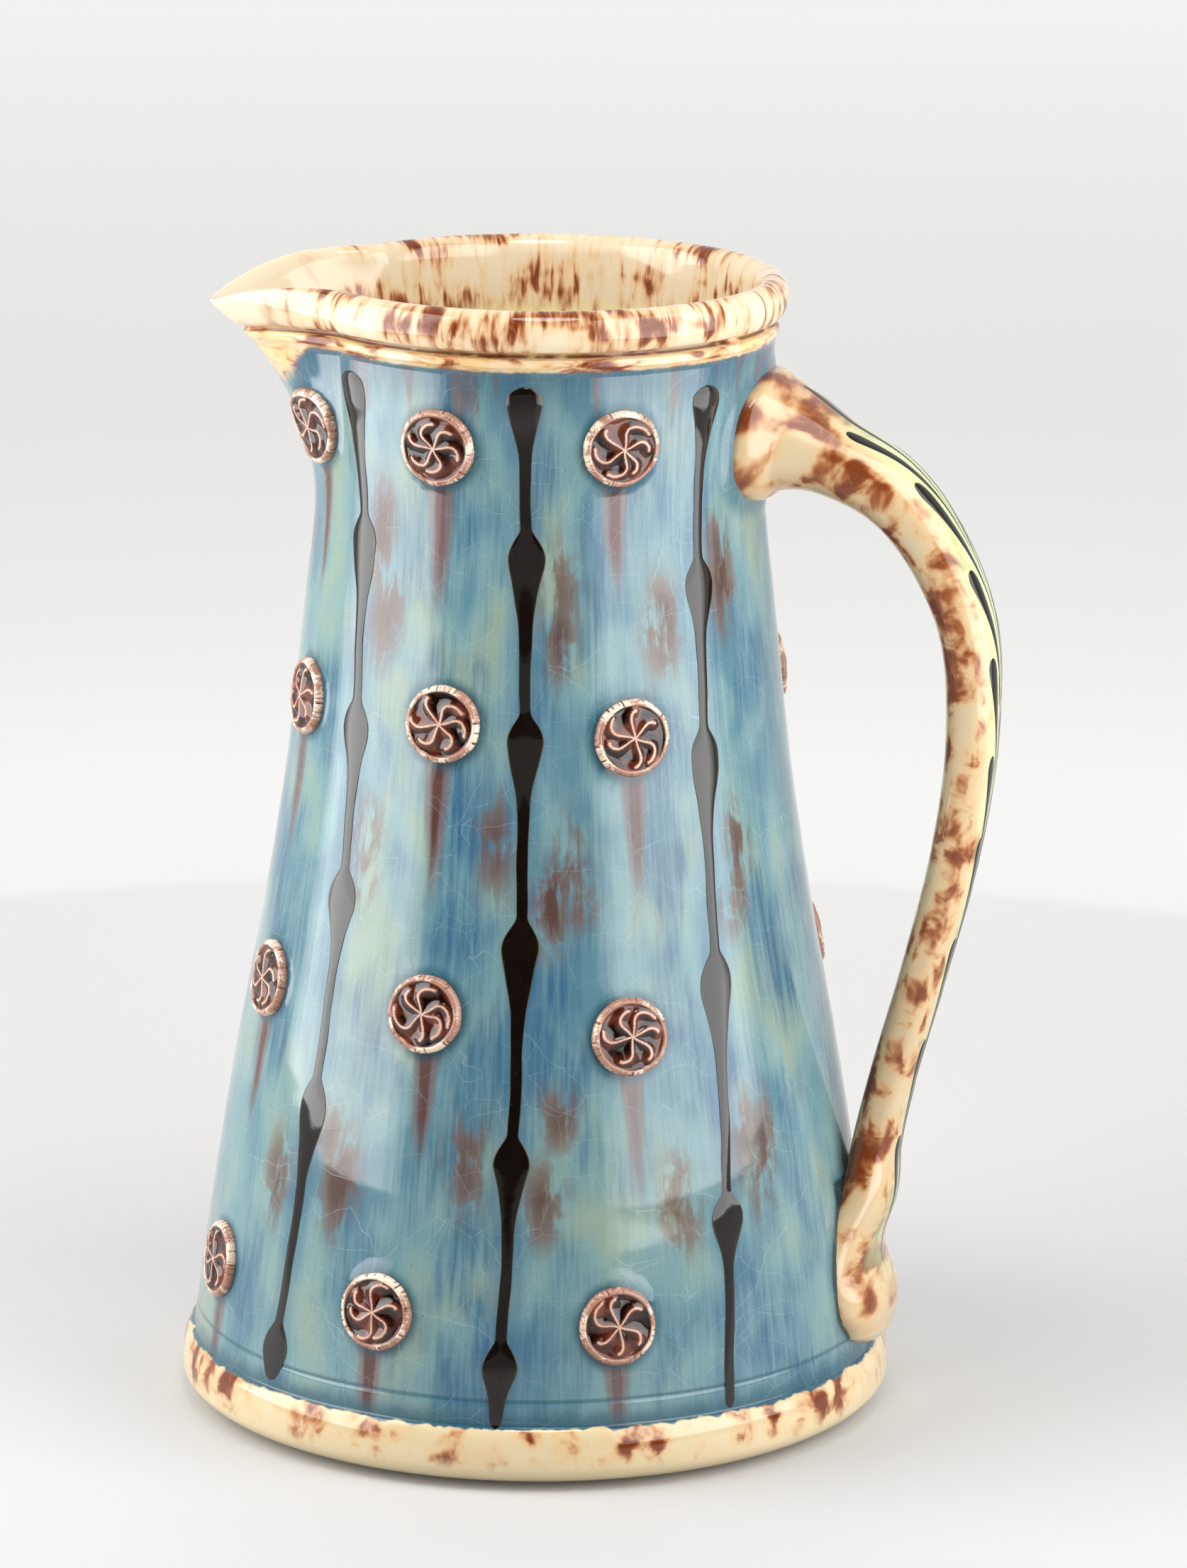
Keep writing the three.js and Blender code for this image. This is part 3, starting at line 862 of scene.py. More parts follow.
    def strokes(self) -> list[Object]:
        """Feathered strokes of slip in two rows on the outer face.

        A stroke starts with a round head near the edge and sweeps in to the centre line while it
        thins out. Its section is a low arch, sqrt(1 - v^2) across its width.

        Returns:
            One object for each stroke.
        """
        b = self.brush
        fine = np.linspace(0, 1, self.measure_points)
        lengths = run_lengths(self.centres(fine))
        rng = np.random.default_rng(RNG_SEED + 4)
        u, v = np.linspace(0, 1, b.rows), np.linspace(-1, 1, b.columns)
        swell = b.swell(u)
        lift = b.thickness * np.sqrt(1 - v**2) * np.sqrt(swell)[:, None] + b.edge_lift
        back = slice(-2, 0, -1)
        made = []
        for row, side, starts in (("near", 1, self.near_strokes_mm), ("far", -1, self.far_strokes_mm)):
            for number, start in enumerate(starts, 1):
                along = start * MM + u * b.length * rng.uniform(*b.length_spread)
                shares = np.interp(along, lengths, fine)
                half = b.half_width * np.maximum(swell, b.thinnest) / (self.sizes(shares)[:, 1] / 2)
                across = side * b.centre(u, start)[:, None] + v * half[:, None]
                share = np.broadcast_to(shares[:, None], across.shape)
                under = np.full_like(across[:, back], b.back_lift)
                ring = np.concatenate([
                    self.on_face(across, share, lift),
                    self.on_face(across[:, back], share[:, back], under),
                ], axis=1)[:, ::-1]
                name = f"stroke_{row}_{number}"
                made.append(ring_mesh(name, ring, ring[0].mean(0), ring[-1].mean(0)))
        return made


# ---- sprigs and trails ----


@dataclass(frozen=True)
class Whorl:
    """The arms of a sprig. An arm leaves the middle straight, bends clockwise from about half the
    radius and ends along the rim; its line is given in shares of the radius and in radians.

    The widenings and the rise are the share in the middle and what an arm's end adds to it.
    """

    arms: int = 6
    reaches: Floats = (0.0, 0.14, 0.3, 0.45, 0.57, 0.66, 0.72, 0.74)
    turns: Floats = (0.0, 0.02, 0.1, 0.12, 0.02, -0.18, -0.42, -0.68)
    points: int = 26
    uneven: Span = (-0.2, 0.2)
    reach_spread: Span = (0.86, 1.08)
    bend_spread: Span = (0.3, 1.25)
    end_spread: Span = (0.88, 1.0)
    relief: float = 0.75 * MM
    half_width: float = 1.0 * MM
    widening: Span = (0.6, 0.65)
    tip: float = 0.1
    tip_thinning: float = 0.45
    rise: Span = (0.75, 0.25)
    crest_half_width: float = 0.42 * MM
    crest_widening: Span = (0.7, 0.5)

    def lines(self, turn: float, rng: Rng) -> list[Array]:
        """The arms as lines of points in the plane of the sprig, in shares of its radius."""
        lines = []
        for k in range(self.arms):
            base = math.radians(turn + 360 * (k + rng.uniform(*self.uneven)) / self.arms)
            reach = np.array(self.reaches) * rng.uniform(*self.reach_spread)
            angle = base + np.array(self.turns) * rng.uniform(*self.bend_spread)
            knots = np.stack([reach * np.cos(angle), reach * np.sin(angle)], axis=-1)
            shares = np.linspace(0, rng.uniform(*self.end_spread), self.points)
            lines.append(uniform_curve(knots, shares))
        return lines

    def ridges(self, spots: Array, radius: float, lines: list[Array]) -> tuple[Array, Array]:
        """Gaussian ridges exp(-(distance / width)^2) along the arms, that widen outwards.

        Args:
            spots: Places in the plane of the sprig, in shares of its radius.
            radius: The sprig's radius.
            lines: The arms' lines.

        Returns:
            The ridges and their narrow crests, each from 0 to 1.
        """
        ridge, crest = np.zeros(spots.shape[:-1]), np.zeros(spots.shape[:-1])
        for line in lines:
            for point, share in zip(line, np.linspace(0, 1, self.points)):
                off = np.linalg.norm(spots - point, axis=-1) * radius
                by_share = (self.widening, self.rise, self.crest_widening)
                wide, high, narrow = (start + more * share for start, more in by_share)
                wide *= self.half_width
                wide *= 1 - self.tip_thinning * max(0, share - (1 - self.tip)) / self.tip
                ridge = np.maximum(ridge, np.exp(-((off / wide) ** 2)) * high)
                narrow *= self.crest_half_width
                crest = np.maximum(crest, np.exp(-((off / narrow) ** 2)))
        return ridge, crest


@dataclass(frozen=True)
class Milling:
    """The narrow cracks across a sprig's rim. Starts and fades are shares of its radius."""

    notches: int = 44
    uneven: Span = (-0.4, 0.4)
    start: Span = (-0.02, 0.12)
    fade: float = 0.05
    width: Span = (0.1 * MM, 0.24 * MM)
    depth: float = 0.5 * MM

    def gaps(self, reach: Array, turn: Array, r: Array, inner: float, rng: Rng) -> Array:
        """How deep the cracks are, from 0 to 1, each a Gaussian groove towards the middle.

        Args:
            reach: Distance from the middle, in metres.
            turn: Angle round the middle.
            r: The same distance as a share of the radius.
            inner: The rim's inner edge, as a share of the radius.
            rng: The sprig's own seeded source.

        Returns:
            The depths.
        """
        gaps = np.zeros_like(reach)
        for k in range(self.notches):
            place = 2 * math.pi * (k + rng.uniform(*self.uneven)) / self.notches
            off = (turn - place + math.pi) % (2 * math.pi) - math.pi
            start = rng.uniform(inner + self.start[0], inner + self.start[1])
            depth, wide = rng.uniform(0, 1), rng.uniform(*self.width)
            crack = np.exp(-((off * reach / wide) ** 2)) * smooth_step(r, start, start + self.fade)
            gaps = np.maximum(gaps, depth * crack)
        return gaps


@dataclass
class Sprig:
    """A moulded medallion: milled rim, sunken field under a pool of glaze, and a whorl of arms."""

    wall: Wall
    place: SprigPlace
    number: int
    radius: float = 8.3 * MM
    rim_width: float = 1.3 * MM
    rim_clay: float = 2.1 * MM
    rim_edge: Span = (-0.045, 0.03)
    rim_wear: float = 0.14 * MM
    rim_waves: Floats = per_turn(2, 5, 11)
    edge_rounding: float = 0.13
    edge_height: float = 0.3
    outline_wear: float = 0.016
    outline_waves: Floats = per_turn(2, 5, 9)
    pool: float = 1.35 * MM
    dome: float = 0.45 * MM
    pool_climb: float = 0.2 * MM
    pool_edge: float = 0.16
    bare_crest: float = 0.95
    bare_arm: float = 0.38
    bare_back: float = 0.5
    whorl: Whorl = Whorl()
    milling: Milling = Milling()
    columns: int = 192
    edge_rows: int = 8
    face_rows: int = 43
    face_from: float = 0.92
    face_to: float = 0.015
    back_shares: Floats = (0.25, 0.94, 1.0)
    back_heights: Floats = (-0.35 * MM, -0.35 * MM, 0.1 * MM)

    def relief(self, reach: Array, turn: Array, rng: Rng) -> tuple[Array, Array]:
        """Height of the sprig over the wall, and how bare of the dark glaze it is.

        The rim is a flat band with narrow cracks. The pool between the arms is a shallow dome,
        dome * (1 - share^2), that climbs a little at its edge.

        Args:
            reach: Distance from the middle, in metres.
            turn: Angle round the middle, in radians.
            rng: The sprig's own seeded source.

        Returns:
            Heights in metres and a field from 0, deep in the pool, to 1, bare.
        """
        r = reach / self.radius
        spots = np.stack([r * np.cos(turn), r * np.sin(turn)], axis=-1)
        ridge, crest = self.whorl.ridges(spots, self.radius, self.whorl.lines(self.place.turn, rng))
        inner = 1 - self.rim_width / self.radius
        band = smooth_step(r, inner + self.rim_edge[0], inner + self.rim_edge[1])
        gaps = self.milling.gaps(reach, turn, r, inner, rng)
        worn = self.rim_wear * wander(turn, self.rim_waves, rng)
        rim = self.rim_clay + worn - self.milling.depth * gaps
        pool = self.pool + self.dome * (1 - (r / inner) ** 2)
        pool = pool + self.pool_climb * smooth_step(r, inner - self.pool_edge, inner)
        height = (pool + self.whorl.relief * ridge) * (1 - band) + rim * band
        bare = np.maximum(crest * self.bare_crest, self.bare_arm * ridge)
        return height, np.maximum(bare * (1 - band), band * (1 - self.bare_crest * gaps))

    def build(self) -> Object:
        """The sprig's skin, bent to the wall: rings from the middle of its back, out round its
        edge and in over its face. Its field sprig_face holds bareness and reach share."""
        rng = np.random.default_rng(RNG_SEED * 100 + self.number)
        turn = np.linspace(0, 2 * math.pi, self.columns, endpoint=False)
        outline = self.radius * (1 + self.outline_wear * wander(turn, self.outline_waves, rng))
        edge = 1 - (1 - self.face_from) * open_span(0, 1, self.edge_rows) ** 2
        face = np.linspace(self.face_from, self.face_to, self.face_rows)
        share, angle = np.meshgrid([*self.back_shares, *edge, *face], turn, indexing="ij")
        reach = share * outline
        back = len(self.back_shares)
        height, bare = self.relief(reach[back:], angle[back:], rng)
        edge = np.clip((1 - share[back:]) / self.edge_rounding, 0, 1)
        height *= self.edge_height + (1 - self.edge_height) * np.sqrt(1 - (1 - edge) ** 2)
        lows = np.broadcast_to(np.array(self.back_heights)[:, None], (back, self.columns))
        height = np.concatenate([lows, height])
        bare = np.concatenate([np.full_like(lows, self.bare_back), bare])
        level = self.place.height + reach * np.sin(angle)
        around = reach * np.cos(angle) / self.wall.radius_at(self.place.height)
        points = self.wall.on(self.place.bearing + np.degrees(around), level, height)
        middle = np.array([self.place.bearing]), np.array([self.place.height])
        first = self.wall.on(*middle, self.back_heights[0])[0]
        faces = {"sprig_face": np.stack([bare, share, np.zeros_like(bare)], axis=-1)}
        name = self.place.node.replace("medallion", "sprig")
        return ring_mesh(name, points, first, points[-1].mean(0), faces)


@dataclass
class Trail:
    """A trail of slip: a low ridge down the wall that swells into drops.

    A bead has its full height over its head and a long tail below it. Powers and fullness are drawn
    for each bead; sway and unevenness are smooth random lines.
    """

    wall: Wall
    plan: TrailPlan
    line_half_width: float = 1.2 * MM
    line_thickness: float = 0.1 * MM
    bead_half_width: float = 4.05 * MM
    bead_thickness: float = 0.2 * MM
    top_thickness: float = 0.8 * MM
    top_reach: float = 2.5
    proud: float = 0.1 * MM
    shoulder: float = 6 * MM
    head_power: float = 1.2
    tails: Span = (7.0 * MM, 11.0 * MM)
    tail_powers: Span = (1.5, 1.9)
    fullness: Span = (0.92, 1.04)
    last_tail: float = 5.5 * MM
    overlap: float = 0.3 * MM
    tip: float = 2.2 * MM
    tip_least: float = 0.0004
    uneven: float = 0.045
    uneven_waves: Span = (23 * MM, 9 * MM)
    sway: float = 0.18 * MM
    sway_waves: Span = (37 * MM, 19 * MM)
    under_half: float = 0.9
    rows: int = 620
    softness: int = 9
    section_points: int = 17

    def swelling(self, heights: Array, rng: Rng) -> Array:
        """Share of a bead's fullness: (1 - (rise / shoulder)^2)^power over its head, and
        exp(-(fall / tail)^p) below, with a tail and a p of the bead's own, a little blurred."""
        share = np.zeros_like(heights)
        for up in self.plan.beads:
            middle = self.wall.height_up(up)
            tail, power = rng.uniform(*self.tails), rng.uniform(*self.tail_powers)
            if up == self.plan.beads[-1]:
                tail = self.last_tail
            above = np.maximum(0, 1 - ((heights - middle) / self.shoulder) ** 2) ** self.head_power
            below = np.exp(-((np.maximum(middle - heights, 0) / tail) ** power))
            bead = np.where(heights > middle, above, below) * rng.uniform(*self.fullness)
            share = np.maximum(share, bead)
        blur = np.hanning(self.softness)
        padded = np.pad(share, self.softness // 2, mode="edge")
        return np.convolve(padded, blur / blur.sum(), mode="valid")

    def build(self) -> Object:
        """The trail's skin: arched sections from its top to its lower end. Its field slip_edge
        runs from 0 on the crown to 1 at the edge."""
        rng = np.random.default_rng(RNG_SEED * 1000 + self.plan.number)
        route, low, high = self.plan.route()
        low = max(low, self.wall.foot_top - self.overlap)
        heights = np.linspace(high, low, self.rows)
        share = self.swelling(heights, rng)
        ends = np.clip(np.minimum(high - heights, heights - low) / self.tip, 0, 1)
        rounded = np.sqrt(np.clip(1 - (1 - ends) ** 2, self.tip_least, 1))
        uneven = 1 + self.uneven * wander(heights, self.uneven_waves, rng)
        half = self.line_half_width + (self.bead_half_width - self.line_half_width) * share
        half = half * rounded * uneven
        first = smooth_step(heights, high - self.top_reach * self.shoulder, high - self.shoulder)
        full = self.bead_thickness + (self.top_thickness - self.bead_thickness) * first
        thick = (self.line_thickness + (full - self.line_thickness) * share) * rounded
        sway = self.sway * wander(heights, self.sway_waves, rng)
        v = np.cos(np.linspace(0, math.pi, self.section_points))
        aside = np.array([*v, -self.under_half, self.under_half]) * half[:, None] + sway[:, None]
        lift = np.array([*(1 - v**2), -1, -1]) * thick[:, None] + self.proud
        height = np.repeat(heights[:, None], aside.shape[1], axis=1)
        bearing = route(height) + np.degrees(aside / self.wall.radius(height))
        points = self.wall.on(bearing, height, lift)
        edge = {"slip_edge": np.broadcast_to(np.abs([*v, 1, 1]), height.shape)}
        name = f"slip_trail_{self.plan.number}"
        return ring_mesh(name, points, points[0].mean(0), points[-1].mean(0), edge)


# ---- glazes ----


Number = Union["Value", float]


def operator(operation: str, swapped: bool = False) -> Callable[["Value", Number], "Value"]:
    """A method of Value that adds a Math node; if swapped, the other number comes first."""

    def method(self: "Value", other: Number) -> "Value":
        """The result of the Math node."""
        return self.nodes.math(operation, *((other, self) if swapped else (self, other)))

    return method


class Value:
    """A socket that can be reckoned with: each operator on it adds a Math node."""

    __add__, __radd__ = operator("ADD"), operator("ADD", True)
    __sub__, __rsub__ = operator("SUBTRACT"), operator("SUBTRACT", True)
    __mul__, __pow__ = operator("MULTIPLY"), operator("POWER")
    __truediv__, __rtruediv__ = operator("DIVIDE"), operator("DIVIDE", True)
    maximum = operator("MAXIMUM")

    def __init__(self, nodes: "Nodes", socket: bpy.types.NodeSocket) -> None:
        """Takes the socket and the nodes it belongs to."""
        self.nodes = nodes
        self.socket = socket

    def __abs__(self) -> "Value":
        """The absolute value."""
        return self.nodes.math("ABSOLUTE", self)

    def up(self, low: Number, high: Number) -> "Value":
        """0 below low and 1 above high, with a smooth climb between them."""
        inputs = {"Value": self, "From Min": low, "From Max": high}
        return self.nodes.add("MapRange", inputs, "Result", interpolation_type="SMOOTHSTEP")

    def down(self, low: Number, high: Number) -> "Value":
        """1 below low and 0 above high, with a smooth fall between them."""
        return 1.0 - self.up(low, high)

    def blend(self, other: "Value", share: float) -> "Value":
        """The sum of this value and a share of another."""
        return self * (1 - share) + other * share

    def split(self) -> list["Value"]:
        """The three numbers of a vector."""
        return list(self.nodes.outs("SeparateXYZ", {0: self}).values())

    def noise(self, detail: float, roughness: float, warp: float, output: str = "Fac") -> "Value":
        """Fractal noise of unit scale, about 0.5, at this vector."""
        inputs = {"Vector": self, "Scale": 1.0, "Detail": detail}
        inputs |= {"Roughness": roughness, "Distortion": warp}
        return self.nodes.add("TexNoise", inputs, output)


class Nodes:
    """A node tree with short calls for the nodes that the glazes use."""

    def __init__(self, tree: Tree) -> None:
        """Takes the tree to add to."""
        self.tree = tree

    def feed(self, node: Node, inputs: dict) -> None:
        """Links values to a node's inputs, and sets numbers and colours there."""
        for key, value in inputs.items():
            if isinstance(value, Value):
                self.tree.links.new(value.socket, node.inputs[key])
            else:
                node.inputs[key].default_value = value

    def node(self, kind: str, inputs: dict | None = None, **settings: object) -> Node:
        """A new node.

        Args:
            kind: The node's type, without its ShaderNode prefix.
            inputs: Values, numbers or colours by input name or number.
            **settings: Properties of the node.

        Returns:
            The node.
        """
        node = self.tree.nodes.new("ShaderNode" + kind)
        for key, value in settings.items():
            setattr(node, key, value)
        self.feed(node, inputs or {})
        return node

    def add(
        self, kind: str, inputs: dict | None = None, output: int | str = 0, **settings: object
    ) -> Value:
        """One output of a new node."""
        return Value(self, self.node(kind, inputs, **settings).outputs[output])

    def outs(self, kind: str, inputs: dict, **settings: object) -> dict[str, Value]:
        """All outputs of a new node, by name."""
        return {out.name: Value(self, out) for out in self.node(kind, inputs, **settings).outputs}

    def math(self, operation: str, *values: Number) -> Value:
        """The result of a Math node."""
        return self.add("Math", dict(enumerate(values)), operation=operation)

    def mix(self, share: Number, a: Value | Colour, b: Value | Colour) -> Value:
        """Colour a with a share of colour b."""
        return self.add("Mix", {0: share, 6: a, 7: b}, 2, data_type="RGBA")

    def ramp(self, share: Value, stops: Sequence[tuple[float, Colour]], mode: str = "EASE") -> Value:
        """The colour of a ramp at a share."""
        node = self.node("ValToRGB", {"Fac": share})
        band = node.color_ramp
        band.interpolation = mode
        while len(band.elements) < len(stops):
            band.elements.new(1.0)
        for element, (position, colour) in zip(band.elements, stops):
            element.position = position
            element.color = colour
        return Value(self, node.outputs["Color"])

    def field(self, name: str, output: str = "Vector") -> Value:
        """A mesh attribute."""
        return self.add("Attribute", output=output, attribute_name=name)

    def place(self) -> Value:
        """Object coordinates."""
        return self.add("TexCoord", output="Object")

    def place_mm(self) -> Value:
        """Object coordinates in millimetres."""
        return Grain(1 / MM, 1 / MM).at(self.place())


def toward(x: Value, y: Value, degrees: float, unit: float = 1.0) -> Value:
    """How far a place lies in a direction: x cos + y sin, over a unit."""
    turn = math.radians(degrees)
    return x * (math.cos(turn) / unit) + y * (math.sin(turn) / unit)


@dataclass(frozen=True)
class Grain:
    """A noise: waves per millimetre across and along, its shift, and how fine and warped it is."""

    across: float
    along: float
    shift: float = 0.0
    detail: float = 2.0
    roughness: float = 0.5
    warp: float = 0.0

    def at(self, place: Value) -> Value:
        """The place scaled and shifted."""
        inputs = {0: place, 1: (self.across, self.across, self.along), 2: (self.shift,) * 3}
        return place.nodes.add("VectorMath", inputs, operation="MULTIPLY_ADD")

    def of(self, place: Value, output: str = "Fac") -> Value:
        """The noise at a place."""
        return self.at(place).noise(self.detail, self.roughness, self.warp, output)


def laid(ground: Value, colour: Colour, strength: float, *masks: Value) -> Value:
    """The ground under a colour of some strength, where all the masks are up."""
    share = masks[0]
    for mask in masks[1:]:
        share = share * mask
    return ground.nodes.mix(share * strength, ground, colour)


@dataclass(frozen=True)
class Coat:
    """A coat of colour that comes up between two values of a mask, or fades between them.

    The waver is how much of a noise is added to the mask by whoever lays the coat.
    """

    low: float
    high: float
    strength: float
    colour: Colour
    fades: bool = False
    waver: float = 0.0

    def over(self, ground: Value, mask: Value, *within: Value, start: float = 0.0) -> Value:
        """The ground with this coat.

        Args:
            ground: The colour under it.
            mask: What low and high are read from.
            *within: Masks that limit the coat.
            start: A number that is added to low and high.

        Returns:
            The new colour.
        """
        share = (mask.down if self.fades else mask.up)(start + self.low, start + self.high)
        return laid(ground, self.colour, self.strength, share, *within)


@dataclass(frozen=True)
class RunCoat:
    """A coat of the runs: half width at the sprig, what it loses to the end, and its soft edge."""

    half_width: float
    loss: float
    soft: float
    strength: float
    colour: Colour

    def over(self, ground: Value, run: Value, beside: Value, *within: Value) -> Value:
        """The ground with this coat, by the share along the run and the millimetres beside it."""
        share = (self.half_width - run * self.loss).up(beside, beside + self.soft)
        return laid(ground, self.colour, self.strength, share, *within)


@dataclass(frozen=True)
class Dabs:
    """One use of the mottle: the grains of strokes and patches, and the share they cover."""

    strokes: Grain
    patches: Grain
    cover: float

    def of(self, mottle: Tree, place: Value) -> dict[str, Value]:
        """The levels of the mottle at a place, by name."""
        strokes, patches = self.strokes.at(place), self.patches.at(place)
        inputs = {"Strokes": strokes, "Patches": patches, "Cover": self.cover}
        return place.nodes.outs("Group", inputs, node_tree=mottle)


def new_group(
    name: str, inputs: Sequence[tuple[str, str, float]], outputs: Sequence[str]
) -> tuple[Nodes, dict[str, Value], Node]:
    """An empty node group with named sockets.

    Args:
        name: The group's name.
        inputs: Name, kind (Vector or Float) and default of each input.
        outputs: Names of the outputs, all floats.

    Returns:
        The nodes, the group's inputs by name and its output node.
    """
    tree = bpy.data.node_groups.new(name, "ShaderNodeTree")
    for label, kind, default in inputs:
        socket = tree.interface.new_socket(label, in_out="INPUT", socket_type="NodeSocket" + kind)
        if kind == "Float":
            socket.default_value = default
    for label in outputs:
        tree.interface.new_socket(label, in_out="OUTPUT", socket_type="NodeSocketFloat")
    nodes = Nodes(tree)
    given = {out.name: Value(nodes, out) for out in tree.nodes.new("NodeGroupInput").outputs}
    return nodes, given, tree.nodes.new("NodeGroupOutput")


@dataclass(frozen=True)
class Crazing:
    """Fine cracks in the glaze, as the edges of two warped cell patterns, and pinhead specks.

    The group's inputs are Place in millimetres, and Cell, the size of a crazing cell. Its outputs
    are Crack and Speck.
    """

    cell: float = 9.0
    bend: Grain = Grain(0.11, 0.11)
    bend_reach: float = 4
    cells: tuple[Span, ...] = ((1.0, 0.009), (0.6, 0.006))
    gaps: Grain = Grain(0.1, 0.1, 3.0, 1.0)
    gap_span: Span = (0.3, 0.55)
    dots: float = 1.15
    dot_size: float = 0.17
    dot_middle: float = 0.6

    def group(self) -> Tree:
        """The node group."""
        inputs = [("Place", "Vector", 0), ("Cell", "Float", self.cell)]
        n, given, sink = new_group("crazing", inputs, ["Crack", "Speck"])
        place, scale = given["Place"], 1.0 / given["Cell"]
        inputs = {0: self.bend.of(place, "Color"), 1: (self.bend_reach,) * 3, 2: place}
        bent = n.add("VectorMath", inputs, operation="MULTIPLY_ADD")
        cracks = []
        for ratio, width in self.cells:
            inputs = {"Vector": bent, "Scale": scale * ratio}
            cell = n.add("TexVoronoi", inputs, "Distance", feature="DISTANCE_TO_EDGE")
            cracks.append(cell.down(0.0, width))
        crack = cracks[0].maximum(cracks[1]) * self.gaps.of(place).up(*self.gap_span)
        dots = n.outs("TexVoronoi", {"Vector": place, "Scale": self.dots}, feature="F1")
        size = dots["Color"].split()[0] * self.dot_size
        n.feed(sink, {"Crack": crack, "Speck": dots["Distance"].down(size * self.dot_middle, size)})
        return n.tree


@dataclass(frozen=True)
class Mottle:
    """Brown dabbed on with a brush: patches made of short strokes.

    The group's inputs are Strokes and Patches, two vectors already stretched, and Cover, the share
    covered. Its outputs are Brown, the strokes, Stain, the softer stain round them, and Dark, their
    middles.
    """

    cover: float = 0.4
    strokes: tuple[float, float, float] = (3.0, 0.55, 0.4)
    patches: tuple[float, float, float] = (2.0, 0.5, 0.4)
    patch_share: float = 0.5
    edge: float = 0.72
    cover_reach: float = 0.4
    brown: Span = (0.01, 0.08)
    stain: Span = (0.1, 0.04)
    dark: Span = (0.035, 0.11)

    def group(self) -> Tree:
        """The node group."""
        inputs = [("Strokes", "Vector", 0), ("Patches", "Vector", 0), ("Cover", "Float", self.cover)]
        n, given, sink = new_group("mottle", inputs, ["Brown", "Stain", "Dark"])
        strokes, patches = given["Strokes"].noise(*self.strokes), given["Patches"].noise(*self.patches)
        both = strokes.blend(patches, self.patch_share)
        edge = self.edge - given["Cover"] * self.cover_reach
        n.feed(sink, {
            "Brown": both.up(edge - self.brown[0], edge + self.brown[1]),
            "Stain": both.up(edge - self.stain[0], edge + self.stain[1]),
            "Dark": both.up(edge + self.dark[0], edge + self.dark[1]),
        })
        return n.tree


@dataclass(frozen=True, kw_only=True)
class Glaze:
    """A fired glaze: how it shines. Each kind says in paint how it is coloured."""

    name: str
    roughness: float = 0.06
    ior: float = 1.52
    bump: float = 0.12
    bump_distance: float = 0.1 * MM

    def paint(self, n: Nodes) -> tuple[Value, Value]:
        """The colour, and the height for the Bump node."""
        raise NotImplementedError

    def build(self) -> Material:
        """The material."""
        made = bpy.data.materials.new(self.name)
        made.use_nodes = True
        n = Nodes(made.node_tree)
        colour, height = self.paint(n)
        bump = {"Strength": self.bump, "Distance": self.bump_distance, "Height": height}
        n.feed(made.node_tree.nodes["Principled BSDF"], {
            "Roughness": self.roughness,
            "IOR": self.ior,
            "Base Color": colour,
            "Normal": n.add("Bump", bump, "Normal"),
        })
        return made


IVORY = srgb(219, 205, 179)
CREAM = srgb(212, 193, 160)
FOOT_CREAM = srgb(206, 188, 146)
BUFF = srgb(230, 214, 160)
YELLOW = srgb(212, 180, 104)
STAIN = srgb(210, 164, 112)
BROWN = srgb(154, 74, 22)
DARK_BROWN = srgb(94, 34, 9)
TEAL = srgb(28, 74, 90)


